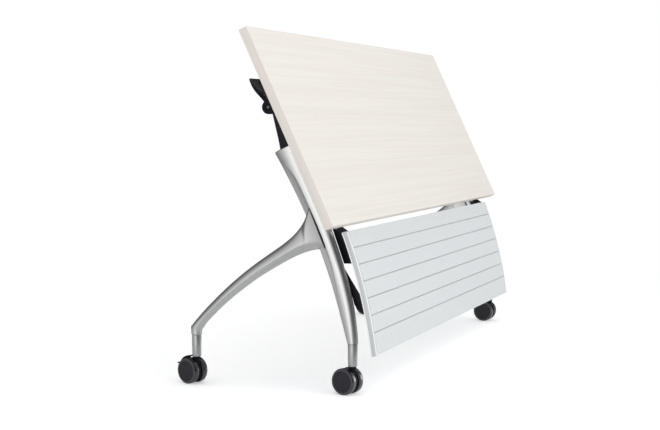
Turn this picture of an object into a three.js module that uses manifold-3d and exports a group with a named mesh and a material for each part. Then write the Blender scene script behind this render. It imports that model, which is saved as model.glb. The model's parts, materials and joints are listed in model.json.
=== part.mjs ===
// Flip top training table on castors, stored with its worktop tipped up and its panel hanging behind.
// Millimetres. +Z is up, +X is the sitter's right, +Y points away from the sitter.
import * as THREE from "three";
import { mergeVertices } from "three/addons/utils/BufferGeometryUtils.js";
import Module from "manifold-3d";

const wasm = await Module();
wasm.setup();

// Worktop
const TOP_LENGTH = 1800;
const TOP_DEPTH = 600;
const TOP_THICKNESS = 25;
const EDGE_BAND_THICKNESS = 2;
const WORK_HEIGHT = 740;

// Flip axis: distance behind the sitter's edge, depth under the worktop, place over the footprint
const PIVOT_SETBACK = 362;
const PIVOT_DROP = 80;
const PIVOT_BEHIND_MIDDLE = 55.4;
const FLIP_ANGLE = 64.86;
const PIVOT_PIN_DIAMETER = 12;
const PIVOT_PIN_HEAD_DIAMETER = 22;
const PIVOT_PIN_HEAD_LENGTH = 5;
const PIVOT_PIN_WALL = 4;

// Clearances
const SEAT_GAP = 0.3;
const RUNNING_GAP = 0.3;
const SWEEP_GAP = 3;
const SIDE_GAP = 2;

// Hinge brackets under the worktop
const BRACKET_WEB = 12;
const BRACKET_FLANGE_THICKNESS = 4;
const BRACKET_FLANGE_WIDTH = 64;
const BRACKET_HUB_DIAMETER = 50;
const BRACKET_WAIST_AHEAD = 26;
const BRACKET_WAIST_RISE = 6;

// Release shaft, levers and latch hooks
const SHAFT_AHEAD = 152;
const SHAFT_ABOVE_PIVOT = 9;
const SHAFT_DIAMETER = 10;
const SHAFT_EYE_DIAMETER = 24;
const SHAFT_END_STAND = 1.5;
const LEVER_BOSS_DIAMETER = 34;
const LEVER_BOSS_WIDTH = 22;
const LEVER_REACH = 94;
const LEVER_BLADE_WIDTH = 72;
const LEVER_BLADE_BEYOND_BOSS = 16;
const LEVER_BLADE_THICKNESS = 7;
const LEVER_BLADE_DIP = 6;
const LEVER_BOW_AHEAD = 67;
const LEVER_BOW_DIP = 18.6;
const LEVER_ROOT_ANGLE = 28;
const LEVER_NECK = 30;
const HOOK_THICKNESS = 8;
const HOOK_ARM_DEPTH = 9;
const HOOK_TOOTH_AHEAD = 8;
const HOOK_TOOTH_LENGTH = 9;
const LATCH_DISC_DIAMETER = 36;
const LATCH_DISC_THICKNESS = 8;
const LATCH_NOTCH_DEPTH = 5;

// Legs
const LEG_BEYOND_PANEL = 6.75;
const FOOT_SPREAD = 482;
const HEAD_RISE = 32;
const HEAD_FRONT = 38;
const COLUMN_DEPTH = 50;
const COLUMN_WIDTH = 36;
const LEG_SQUARENESS = 2.5;
const ROUND_SQUARENESS = 2;
const HEAD_FLARE_POWER = 2;
const FOOT_TAPER_POWER = 4;
const COLUMN_STRAIGHT = 178;
const COLUMN_BEND_HANDLE = 200;
const FOOT_DIAMETER = 31;
const ARM_DROP = 214;
const ARM_ROOT_RISE = 38;
const ARM_ROOT_FALL = 29;
const ARM_ROOT_LENGTH = 170;
const ARM_ROOT_POWER = 3;
const ARM_TAPER_POWER = 2;
const ARM_RING_BIAS = 1.4;
const ARM_DEPTH = 45;
const ARM_ROOT_WIDTH = 42;
const ARM_WIDTH = 33;
const ARM_ROOT_ANGLE = 35;
const ARM_ELBOW_ANGLE = 51;
const ARM_HANDLE = 150;
const ELBOW_HEIGHT = 20;
const BEAM_DROP = 78;
const BEAM_DIAMETER = 45;
const BEAM_WALL = 2.5;

// Castors
const WHEEL_DIAMETER = 75;
const WHEEL_WIDTH = 20;
const WHEEL_RECESS = 1.4;
const WHEEL_RIM = 5;
const WHEEL_EDGE_ROUND = 2.5;
const WEB_WIDTH = 12;
const WEB_DIAMETER = 66;
const WEB_SIDE_GAP = 1;
const AXLE_DIAMETER = 8;
const AXLE_END_WALL = 5;
const CASTOR_TRAIL = 18;
const HOOD_RISE = 4.8;
const HOOD_BOSS_DIAMETER = 24;
const KINGPIN_DIAMETER = 11;
const KINGPIN_LENGTH = 38;
const STEM_LENGTH = 64;
const STEM_TOP_DIAMETER = 28;
const STEM_BOTTOM_DIAMETER = 26;
const SPIGOT_DIAMETER = 18;
const SPIGOT_LENGTH = 24;

// Swivel angles of the castors as they stand
const SWIVEL = { rear_right: -16, front_right: -20, rear_left: -6, front_left: -12 };

// Brake pedals on the front castors, angles measured back from the top of the wheel
const PEDAL_CLEARANCE = 3;
const PEDAL_THICKNESS = 4;
const PEDAL_WIDTH = 44;
const PEDAL_START = 14;
const PEDAL_END = 56;
const PEDAL_TAB_REACH = 25;
const PEDAL_LUG_WIDTH = 5;
const PEDAL_LUG_DEPTH = 9;
const PEDAL_LUG_SPREAD = 9;
const PEDAL_PIN_DIAMETER = 4;
const PEDAL_PIN_RADIUS = 26;
const PEDAL_PIN_ANGLE = 24;

// Modesty panel and its parallel linkage
const PANEL_LENGTH = 1541;
const PANEL_HEIGHT = 356;
const PANEL_BULGE = 11;
const PANEL_LEAN = 14.33;
const PANEL_SHEET = 3;
const PANEL_STRIPS = 7;
const LAST_STRIP_HEIGHT = 64;
const GROOVE_WIDTH = 2.4;
const GROOVE_DEPTH = 1;
const CAP_DEPTH = 16;
const CAP_WIDTH = 9;
const PANEL_STAND_OFF = 37.7;
const PANEL_BELOW_HINGE = 17.8;
const HINGE_FROM_REAR_EDGE = 8;
const HINGE_ABOVE_PIVOT = 30;
const HINGE_EYE_DIAMETER = 22;
const HINGE_PIN_DIAMETER = 8;
const HINGE_SEAT_LENGTH = 52;
const HINGE_SEAT_WIDTH = 24;
const HINGE_EAR_THICKNESS = 9;
const PANEL_ARM_THICKNESS = 9;
const PANEL_ARM_LENGTH = 86;
const PANEL_ARM_TOE = 10;
const PANEL_ARM_STRIP = 8;
const STAY_ANCHOR_DROP = 255;
const STAY_ANCHOR_FRONT = 12.8;
const STAY_WIDTH = 16;
const STAY_THICKNESS = 5;
const STAY_PIN_DIAMETER = 7;
const STAY_PIN_DEPTH = 12;
const PIN_HEAD_RISE = 2;
const PIN_HEAD_LENGTH = 2.5;

// Facets
const ROUND_SIDES = 16;
const WHEEL_SIDES = 24;
const LEG_SIDES = 16;
const COLUMN_STEPS = 6;
const ARM_STEPS = 10;
const PANEL_STEPS = 2;
const CURVE_STEPS = 5;

// Worked out from the sizes above
const { degToRad } = THREE.MathUtils;
const HALF_TURN = Math.PI;
const FULL_TURN = 2 * HALF_TURN;
const flip = degToRad(FLIP_ANGLE);
const pivotHeight = WORK_HEIGHT - PIVOT_DROP;
const underside = PIVOT_DROP - TOP_THICKNESS;
const legX = PANEL_LENGTH / 2 + LEG_BEYOND_PANEL;
const footY = FOOT_SPREAD / 2;
const hoodTop = WHEEL_DIAMETER + HOOD_RISE;
const stemBottom = hoodTop + RUNNING_GAP;
const stemTop = stemBottom + STEM_LENGTH;
const legFoot = stemTop + SEAT_GAP;
const headReach = underside - BRACKET_FLANGE_THICKNESS - SWEEP_GAP;
const headRear = Math.sqrt(headReach ** 2 - HEAD_RISE ** 2);
const pivotFrame = new THREE.Matrix4()
  .makeTranslation(0, PIVOT_BEHIND_MIDDLE, pivotHeight)
  .multiply(new THREE.Matrix4().makeRotationX(-flip));

// Faces across the width of one leg, as distances from the table's middle, working inwards
const columnInner = legX - COLUMN_WIDTH / 2;
const hookOuter = columnInner - SIDE_GAP;
const hookInner = hookOuter - HOOK_THICKNESS;
const stayOuter = columnInner - SIDE_GAP;
const stayInner = stayOuter - STAY_THICKNESS;
const panelArmOuter = stayInner - SIDE_GAP;
const panelArmInner = panelArmOuter - PANEL_ARM_THICKNESS;
const earOuter = panelArmInner - RUNNING_GAP;
const earInner = earOuter - HINGE_EAR_THICKNESS;
const webInner = legX - BRACKET_WEB / 2;
const webOuter = legX + BRACKET_WEB / 2;
const bossInner = webOuter + RUNNING_GAP;
const bossOuter = bossInner + LEVER_BOSS_WIDTH;

const MATERIALS = {
  laminate: new THREE.MeshStandardMaterial({ color: 0xeeeae3, roughness: 0.55 }),
  edging: new THREE.MeshStandardMaterial({ color: 0xded6ce, roughness: 0.5 }),
  castAluminium: new THREE.MeshStandardMaterial({ color: 0xb9bdbf, roughness: 0.38, metalness: 0.85 }),
  stemMetal: new THREE.MeshStandardMaterial({ color: 0x9ca0a2, roughness: 0.35, metalness: 0.85 }),
  panelMetal: new THREE.MeshStandardMaterial({ color: 0xcdd4d7, roughness: 0.42, metalness: 0.6 }),
  steel: new THREE.MeshStandardMaterial({ color: 0x8c8f92, roughness: 0.3, metalness: 0.95 }),
  blackMetal: new THREE.MeshStandardMaterial({ color: 0x1d1e22, roughness: 0.5, metalness: 0.4 }),
  blackPlastic: new THREE.MeshStandardMaterial({ color: 0x1c1d21, roughness: 0.55 }),
  tread: new THREE.MeshStandardMaterial({ color: 0x24252a, roughness: 0.6 }),
};

// Solids and booleans

function toSolid(geometry) {
  const bare = geometry.clone();
  bare.deleteAttribute("normal");
  bare.deleteAttribute("uv");
  const merged = mergeVertices(bare);
  return new wasm.Manifold(
    new wasm.Mesh({
      numProp: 3,
      vertProperties: Float32Array.from(merged.attributes.position.array),
      triVerts: Uint32Array.from(merged.index.array),
    }),
  );
}

function toGeometry(solid) {
  const mesh = solid.getMesh();
  const geometry = new THREE.BufferGeometry();
  geometry.setAttribute("position", new THREE.BufferAttribute(mesh.vertProperties, 3));
  geometry.setIndex(new THREE.BufferAttribute(mesh.triVerts, 1));
  geometry.computeVertexNormals();
  return geometry;
}

function cut(geometry, ...tools) {
  return toGeometry(tools.reduce((left, tool) => left.subtract(toSolid(tool)), toSolid(geometry)));
}

function common(first, second) {
  return toGeometry(toSolid(first).intersect(toSolid(second)));
}

function join(...geometries) {
  return toGeometry(geometries.map(toSolid).reduce((whole, next) => whole.add(next)));
}

// A closed outline in the side plane, drawn as (y, z), stretched from one distance to another along X.
function sideways(shape, fromX, toX) {
  const geometry = new THREE.ExtrudeGeometry(shape, {
    depth: Math.abs(toX - fromX),
    bevelEnabled: false,
    curveSegments: CURVE_STEPS,
  });
  const upright = new THREE.Matrix4().makeBasis(
    new THREE.Vector3(0, 1, 0),
    new THREE.Vector3(0, 0, 1),
    new THREE.Vector3(1, 0, 0),
  );
  return geometry.applyMatrix4(upright).translate(Math.min(fromX, toX), 0, 0);
}

function outline(points) {
  return new THREE.Shape(points.map(([y, z]) => new THREE.Vector2(y, z)));
}

// A straight round bar along X.
function barX(diameter, fromX, toX, [y, z], sides = ROUND_SIDES) {
  const bar = new THREE.CylinderGeometry(diameter / 2, diameter / 2, Math.abs(toX - fromX), sides);
  return bar.rotateZ(HALF_TURN / 2).translate((fromX + toX) / 2, y, z);
}

// A straight round bar along Z.
function barZ(diameter, fromZ, toZ, [x, y], sides = ROUND_SIDES) {
  const bar = new THREE.CylinderGeometry(diameter / 2, diameter / 2, toZ - fromZ, sides);
  return bar.rotateX(HALF_TURN / 2).translate(x, y, (fromZ + toZ) / 2);
}

function block([x0, x1], [y0, y1], [z0, z1]) {
  const box = new THREE.BoxGeometry(Math.abs(x1 - x0), y1 - y0, z1 - z0);
  return box.translate((x0 + x1) / 2, (y0 + y1) / 2, (z0 + z1) / 2);
}

function atPivot(geometry) {
  return geometry.applyMatrix4(pivotFrame);
}

// Points of an arc in the side plane; angles run from +Y towards +Z.
function arcPoints([y, z], radius, from, to, steps = CURVE_STEPS) {
  return Array.from({ length: steps + 1 }, (_, i) => {
    const angle = from + ((to - from) * i) / steps;
    return [y + radius * Math.cos(angle), z + radius * Math.sin(angle)];
  });
}

// A skin over oval rings. Each ring has a middle (y, z), the spine's direction, its depths to the front
// and to the rear of the spine, its width along X and how square it is (2 is an ellipse).
function loft(rings, x) {
  const positions = [];
  const index = [];
  for (const { middle, along, front, rear, width, square } of rings) {
    for (let k = 0; k < LEG_SIDES; k += 1) {
      const turn = (FULL_TURN * k) / LEG_SIDES;
      const across = Math.sign(Math.cos(turn)) * Math.abs(Math.cos(turn)) ** (2 / square);
      const aside = Math.sign(Math.sin(turn)) * Math.abs(Math.sin(turn)) ** (2 / square);
      const reach = across * (across > 0 ? rear : front);
      positions.push(x + (aside * width) / 2, middle.x - along.y * reach, middle.y + along.x * reach);
    }
  }
  const last = rings.length - 1;
  for (let ring = 0; ring < last; ring += 1) {
    for (let k = 0; k < LEG_SIDES; k += 1) {
      const a = ring * LEG_SIDES + k;
      const b = ring * LEG_SIDES + ((k + 1) % LEG_SIDES);
      index.push(a, b, b + LEG_SIDES, a, b + LEG_SIDES, a + LEG_SIDES);
    }
  }
  for (const [ring, side] of [[0, -1], [last, 1]]) {
    const hub = positions.length / 3;
    positions.push(x, rings[ring].middle.x, rings[ring].middle.y);
    for (let k = 0; k < LEG_SIDES; k += 1) {
      const a = ring * LEG_SIDES + k;
      const b = ring * LEG_SIDES + ((k + 1) % LEG_SIDES);
      index.push(hub, side > 0 ? a : b, side > 0 ? b : a);
    }
  }
  const geometry = new THREE.BufferGeometry();
  geometry.setAttribute("position", new THREE.Float32BufferAttribute(positions, 3));
  geometry.setIndex(index);
  return geometry;
}

function addPiece(group, name, geometry, material) {
  const mesh = new THREE.Mesh(geometry, material);
  mesh.name = name;
  group.add(mesh);
}

const table = new THREE.Group();
const worktop = new THREE.Group();
worktop.applyMatrix4(pivotFrame);
table.add(worktop);

// Worktop board and its edging, in the frame of the flip axis: y to the rear edge, z out of the worktop

function addBoard() {
  const front = -PIVOT_SETBACK;
  const rear = front + TOP_DEPTH;
  const end = TOP_LENGTH / 2;
  const rim = EDGE_BAND_THICKNESS;
  const core = rim + SEAT_GAP;
  const sides = [underside, PIVOT_DROP];
  addPiece(
    worktop,
    "worktop_board",
    block([core - end, end - core], [front + core, rear - core], sides),
    MATERIALS.laminate,
  );
  const band = cut(
    block([-end, end], [front, rear], sides),
    block([rim - end, end - rim], [front + rim, rear - rim], [underside - rim, PIVOT_DROP + rim]),
  );
  addPiece(worktop, "worktop_edge_band", band, MATERIALS.edging);
}

// Hinge brackets, release shaft, levers and latch hooks, still in the frame of the flip axis

const shaftAxis = [-SHAFT_AHEAD, SHAFT_ABOVE_PIVOT];
const hingeAxis = [TOP_DEPTH - PIVOT_SETBACK - HINGE_FROM_REAR_EDGE, HINGE_ABOVE_PIVOT];
const shaftBore = SHAFT_DIAMETER + 2 * RUNNING_GAP;
const pivotBore = PIVOT_PIN_DIAMETER + 2 * RUNNING_GAP;
const pivotSeat = PIVOT_PIN_DIAMETER + 2 * SEAT_GAP;
const flangeTop = underside - SEAT_GAP;
const flangeBottom = flangeTop - BRACKET_FLANGE_THICKNESS;
const hubRadius = BRACKET_HUB_DIAMETER / 2;

function addHingeBracket(side, label) {
  const eye = SHAFT_EYE_DIAMETER / 2;
  const nose = -SHAFT_AHEAD - eye;
  const web = outline([
    [nose, flangeTop],
    ...arcPoints(shaftAxis, eye, HALF_TURN, FULL_TURN),
    [BRACKET_WAIST_AHEAD - SHAFT_AHEAD, BRACKET_WAIST_RISE],
    ...arcPoints([0, 0], hubRadius, 1.5 * HALF_TURN, FULL_TURN),
    [hubRadius, flangeTop],
  ]);
  const flange = block(
    [side * (legX - BRACKET_FLANGE_WIDTH / 2), side * (legX + BRACKET_FLANGE_WIDTH / 2)],
    [nose, hubRadius],
    [flangeBottom, flangeTop],
  );
  const casting = cut(
    join(sideways(web, side * webInner, side * webOuter), flange),
    barX(shaftBore, side * columnInner, side * bossOuter, shaftAxis),
    barX(pivotBore, side * columnInner, side * bossOuter, [0, 0]),
  );
  addPiece(worktop, `hinge_bracket_${label}`, casting, MATERIALS.blackMetal);
}

function addReleaseLever(side, label) {
  const [y, z] = shaftAxis;
  const radius = LEVER_BOSS_DIAMETER / 2;
  const tip = y - LEVER_REACH;
  const tipBottom = z - LEVER_BLADE_DIP;
  const tipTop = tipBottom + LEVER_BLADE_THICKNESS;
  const bow = y - LEVER_BOW_AHEAD;
  const bowBottom = z - LEVER_BOW_DIP;
  const root = degToRad(LEVER_ROOT_ANGLE) - HALF_TURN;
  const profile = new THREE.Shape();
  profile.absarc(y, z, radius, root, HALF_TURN);
  profile.quadraticCurveTo(bow, bowBottom + LEVER_BLADE_THICKNESS, tip, tipTop);
  profile.lineTo(tip, tipBottom);
  profile.quadraticCurveTo(bow, bowBottom, y + radius * Math.cos(root), z + radius * Math.sin(root));
  const bladeOuter = bossOuter + LEVER_BLADE_BEYOND_BOSS;
  const bladeInner = bladeOuter - LEVER_BLADE_WIDTH;
  const blade = common(
    sideways(profile, side * bladeInner, side * bladeOuter),
    block([side * bladeInner, side * bladeOuter], [tip, y - LEVER_NECK], [-PIVOT_DROP, PIVOT_DROP]),
  );
  const lever = cut(
    join(sideways(profile, side * bossInner, side * bossOuter), blade),
    barX(SHAFT_DIAMETER + 2 * SEAT_GAP, side * webInner, side * bladeOuter, shaftAxis),
  );
  addPiece(worktop, `release_lever_${label}`, lever, MATERIALS.blackPlastic);
}

const discRadius = LATCH_DISC_DIAMETER / 2;
const toothFront = HOOK_TOOTH_LENGTH / 2 - HOOK_TOOTH_AHEAD;
const toothBack = toothFront - HOOK_TOOTH_LENGTH;
const toothTip = -discRadius - RUNNING_GAP;

function addLatchHook(side, label) {
  const armTop = toothTip - LATCH_NOTCH_DEPTH;
  const shape = outline([
    ...arcPoints(shaftAxis, SHAFT_EYE_DIAMETER / 2, 0.5 * HALF_TURN, 1.5 * HALF_TURN),
    [toothFront, armTop - HOOK_ARM_DEPTH],
    [toothFront, toothTip],
    [toothBack, toothTip],
    [toothBack, armTop],
  ]);
  const hook = cut(
    sideways(shape, side * hookInner, side * hookOuter),
    barX(SHAFT_DIAMETER + 2 * SEAT_GAP, side * earInner, side * legX, shaftAxis),
  );
  addPiece(worktop, `latch_hook_${label}`, hook, MATERIALS.blackMetal);
}

function addReleaseShaft() {
  const end = bossOuter + SHAFT_END_STAND;
  addPiece(worktop, "release_shaft", barX(SHAFT_DIAMETER, -end, end, shaftAxis), MATERIALS.steel);
}

function addPanelHingeSeat(side, label) {
  const [y, z] = hingeAxis;
  const eye = HINGE_EYE_DIAMETER / 2;
  const ear = outline([
    [y - HINGE_SEAT_LENGTH / 2, flangeTop],
    ...arcPoints(hingeAxis, eye, HALF_TURN, FULL_TURN),
    [y + eye, z + eye / 2],
    [y, flangeTop],
  ]);
  const flange = block(
    [side * (earInner - HINGE_SEAT_WIDTH), side * earOuter],
    [y - HINGE_SEAT_LENGTH, y],
    [flangeBottom, flangeTop],
  );
  const seat = cut(
    join(sideways(ear, side * earInner, side * earOuter), flange),
    barX(HINGE_PIN_DIAMETER + 2 * RUNNING_GAP, side * (earInner - eye), side * legX, hingeAxis),
  );
  addPiece(worktop, `panel_hinge_seat_${label}`, seat, MATERIALS.blackMetal);
}

// Pins along X with a head at their inner end

function headedPin(side, diameter, headDiameter, headLength, shoulder, far, axis) {
  return join(
    barX(diameter, side * (shoulder - headLength / 2), side * far, axis),
    barX(headDiameter, side * (shoulder - headLength), side * shoulder, axis),
  );
}

// Modesty panel, in a frame on its hinge axis: y outwards through the panel, z up along its chord

const panel = new THREE.Group();
panel.position.set(0, ...hingeAxis);
panel.rotation.x = flip + degToRad(PANEL_LEAN);
worktop.add(panel);

const panelTop = -PANEL_BELOW_HINGE;
const panelMiddle = panelTop - PANEL_HEIGHT / 2;
const panelRadius = ((PANEL_HEIGHT / 2) ** 2 + PANEL_BULGE ** 2) / (2 * PANEL_BULGE);
const panelCentre = PANEL_STAND_OFF + PANEL_BULGE - panelRadius;

function panelFace(z, inset) {
  return panelCentre + Math.sqrt(panelRadius ** 2 - (z - panelMiddle) ** 2) - inset;
}

function panelCurve(inset, from, to, steps) {
  return Array.from({ length: steps + 1 }, (_, i) => {
    const z = from + ((to - from) * i) / steps;
    return [panelFace(z, inset), z];
  });
}

function addModestyPanel() {
  const strip = (PANEL_HEIGHT - LAST_STRIP_HEIGHT) / (PANEL_STRIPS - 1);
  const bottom = panelTop - PANEL_HEIGHT;
  const outer = [];
  for (let i = 0; i < PANEL_STRIPS; i += 1) {
    const from = panelTop - strip * i - (i > 0 ? GROOVE_WIDTH / 2 : 0);
    const more = i < PANEL_STRIPS - 1;
    const groove = panelTop - strip * (i + 1);
    const to = more ? groove + GROOVE_WIDTH / 2 : bottom;
    outer.push(...panelCurve(0, from, to, PANEL_STEPS));
    if (more) {
      outer.push([panelFace(groove, GROOVE_DEPTH), groove]);
    }
  }
  const inner = panelCurve(PANEL_SHEET, bottom, panelTop, PANEL_STRIPS * PANEL_STEPS);
  const half = PANEL_LENGTH / 2 - CAP_WIDTH - SEAT_GAP;
  const sheet = sideways(outline([...outer, ...inner]), -half, half);
  addPiece(panel, "modesty_panel", sheet, MATERIALS.panelMetal);
}

function addPanelEndCap(side, label) {
  const steps = PANEL_STRIPS * PANEL_STEPS;
  const bottom = panelTop - PANEL_HEIGHT;
  const shape = outline([
    ...panelCurve(0, panelTop, bottom, steps),
    ...panelCurve(CAP_DEPTH, bottom, panelTop, steps),
  ]);
  const end = PANEL_LENGTH / 2;
  const cap = sideways(shape, side * (end - CAP_WIDTH), side * end);
  addPiece(panel, `panel_end_cap_${label}`, cap, MATERIALS.panelMetal);
}

// The stay runs level with the line from the flip axis to the panel's hinge, so the panel only shifts
const stayAnchor = [STAY_ANCHOR_DROP, -STAY_ANCHOR_FRONT];
const stayEnd = [stayAnchor[0] + hingeAxis[0], stayAnchor[1] + hingeAxis[1]];
const panelTurn = flip + degToRad(PANEL_LEAN);
const lugAxis = [
  stayAnchor[0] * Math.cos(panelTurn) + stayAnchor[1] * Math.sin(panelTurn),
  stayAnchor[1] * Math.cos(panelTurn) - stayAnchor[0] * Math.sin(panelTurn),
];
const stayBore = STAY_PIN_DIAMETER + 2 * RUNNING_GAP;
const stayPinSeat = STAY_PIN_DIAMETER + 2 * SEAT_GAP;

function addPanelArm(side, label) {
  const eye = HINGE_EYE_DIAMETER / 2;
  const back = PANEL_SHEET + SEAT_GAP;
  const lug = STAY_WIDTH / 2;
  const toe = panelTop - PANEL_ARM_LENGTH;
  const lugEnd = lugAxis[1] - lug;
  const shape = outline([
    ...arcPoints([0, 0], eye, 0.25 * HALF_TURN, HALF_TURN),
    [PANEL_ARM_TOE - eye, toe],
    [panelFace(toe, back + PANEL_ARM_STRIP), toe - PANEL_ARM_STRIP],
    [lugAxis[0] - lug, lugAxis[1] + lug],
    ...arcPoints(lugAxis, lug, HALF_TURN, 1.5 * HALF_TURN),
    ...panelCurve(back, lugEnd, panelTop - back, PANEL_STRIPS * PANEL_STEPS),
  ]);
  const arm = cut(
    sideways(shape, side * panelArmInner, side * panelArmOuter),
    barX(HINGE_PIN_DIAMETER + 2 * SEAT_GAP, side * earInner, side * legX, [0, 0]),
    barX(stayPinSeat, side * earInner, side * legX, lugAxis),
  );
  addPiece(panel, `panel_arm_${label}`, arm, MATERIALS.blackMetal);
  const shoulder = panelArmInner - SEAT_GAP;
  const head = STAY_PIN_DIAMETER + 2 * PIN_HEAD_RISE;
  const pin = headedPin(side, STAY_PIN_DIAMETER, head, PIN_HEAD_LENGTH, shoulder, stayOuter, lugAxis);
  addPiece(panel, `stay_lower_pin_${label}`, pin, MATERIALS.steel);
}

function addPanelHingePin(side, label) {
  const shoulder = earInner - SEAT_GAP;
  const head = HINGE_PIN_DIAMETER + 2 * PIN_HEAD_RISE;
  const far = panelArmOuter;
  const pin = headedPin(side, HINGE_PIN_DIAMETER, head, PIN_HEAD_LENGTH, shoulder, far, hingeAxis);
  addPiece(worktop, `panel_hinge_pin_${label}`, pin, MATERIALS.steel);
}

function addStay(side, label) {
  const [dy, dz] = hingeAxis;
  const lean = Math.atan2(dz, dy);
  const half = STAY_WIDTH / 2;
  const shape = outline([
    ...arcPoints(stayAnchor, half, lean + 0.5 * HALF_TURN, lean + 1.5 * HALF_TURN),
    ...arcPoints(stayEnd, half, lean - 0.5 * HALF_TURN, lean + 0.5 * HALF_TURN),
  ]);
  const bar = cut(
    sideways(shape, side * stayInner, side * stayOuter),
    barX(stayBore, side * earInner, side * legX, stayAnchor),
    barX(stayBore, side * earInner, side * legX, stayEnd),
  );
  addPiece(table, `panel_stay_${label}`, atPivot(bar), MATERIALS.blackMetal);
  const shoulder = stayInner - RUNNING_GAP;
  const head = STAY_PIN_DIAMETER + 2 * PIN_HEAD_RISE;
  const far = columnInner + STAY_PIN_DEPTH;
  const pin = headedPin(side, STAY_PIN_DIAMETER, head, PIN_HEAD_LENGTH / 2, shoulder, far, stayAnchor);
  addPiece(table, `stay_upper_pin_${label}`, atPivot(pin), MATERIALS.steel);
}

// Legs: a column that follows the tipped worktop and bends to the rear castor, and an arm to the front one

const uprightLean = HALF_TURN / 2 - flip;
const columnDown = new THREE.Vector2(Math.sin(uprightLean), -Math.cos(uprightLean));
const pivotPoint = new THREE.Vector2(PIVOT_BEHIND_MIDDLE, pivotHeight);
const onColumn = (distance) => pivotPoint.clone().addScaledVector(columnDown, distance);
const columnBend = new THREE.QuadraticBezierCurve(
  onColumn(COLUMN_STRAIGHT),
  onColumn(COLUMN_STRAIGHT + COLUMN_BEND_HANDLE),
  new THREE.Vector2(footY, legFoot),
);

function columnRings(grow) {
  const half = COLUMN_DEPTH / 2;
  const rings = [];
  for (let i = 0; i <= COLUMN_STEPS; i += 1) {
    const part = i / COLUMN_STEPS;
    const flare = (1 - part) ** HEAD_FLARE_POWER;
    rings.push({
      middle: onColumn(-HEAD_RISE + part * (COLUMN_STRAIGHT + HEAD_RISE)),
      along: columnDown,
      front: half + flare * (HEAD_FRONT - half) + grow,
      rear: half + flare * (headRear - half) + grow,
      width: COLUMN_WIDTH + 2 * grow,
      square: LEG_SQUARENESS,
    });
  }
  for (let i = 1; i <= COLUMN_STEPS; i += 1) {
    const part = i / COLUMN_STEPS;
    const depth = half + part ** FOOT_TAPER_POWER * (FOOT_DIAMETER / 2 - half) + grow;
    rings.push({
      middle: columnBend.getPoint(part),
      along: part < 1 ? columnBend.getTangent(part) : new THREE.Vector2(0, -1),
      front: depth,
      rear: depth,
      width: COLUMN_WIDTH + part * (FOOT_DIAMETER - COLUMN_WIDTH) + 2 * grow,
      square: LEG_SQUARENESS + part * (ROUND_SQUARENESS - LEG_SQUARENESS),
    });
  }
  return rings;
}

const armRoot = onColumn(ARM_DROP);
const elbow = new THREE.Vector2(-footY, legFoot + ELBOW_HEIGHT);
const armSlope = (degrees) => new THREE.Vector2(Math.cos(degToRad(degrees)), Math.sin(degToRad(degrees)));
const armCurve = new THREE.CubicBezierCurve(
  armRoot,
  armRoot.clone().addScaledVector(armSlope(ARM_ROOT_ANGLE), -ARM_HANDLE),
  elbow.clone().addScaledVector(armSlope(ARM_ELBOW_ANGLE), ARM_HANDLE),
  elbow,
);

function armRings() {
  const rings = [];
  const end = FOOT_DIAMETER / 2;
  const length = armCurve.getLength();
  for (let i = 0; i < ARM_STEPS; i += 1) {
    const part = (i / ARM_STEPS) ** ARM_RING_BIAS;
    const taper = part ** ARM_TAPER_POWER;
    const flare = Math.max(0, 1 - (part * length) / ARM_ROOT_LENGTH) ** ARM_ROOT_POWER;
    const plain = ARM_DEPTH / 2 + taper * (end - ARM_DEPTH / 2);
    rings.push({
      middle: armCurve.getPointAt(part),
      along: armCurve.getTangentAt(part),
      front: plain + flare * ARM_ROOT_RISE,
      rear: plain + flare * ARM_ROOT_FALL,
      width: ARM_WIDTH + flare * (ARM_ROOT_WIDTH - ARM_WIDTH) + taper * (FOOT_DIAMETER - ARM_WIDTH),
      square: LEG_SQUARENESS + part * (ROUND_SQUARENESS - LEG_SQUARENESS),
    });
  }
  const down = new THREE.Vector2(0, -1);
  const mitre = armCurve.getTangentAt(1).add(down).normalize();
  const foot = { front: end, rear: end, width: FOOT_DIAMETER, square: ROUND_SQUARENESS };
  rings.push({ ...foot, middle: elbow, along: mitre });
  rings.push({ ...foot, middle: new THREE.Vector2(-footY, legFoot), along: down });
  return rings;
}

const spigotBore = SPIGOT_DIAMETER + 2 * SEAT_GAP;

function spigotHole(x, y) {
  return barZ(spigotBore, legFoot - SPIGOT_LENGTH, stemTop + SPIGOT_LENGTH + SEAT_GAP, [x, y]);
}

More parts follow.
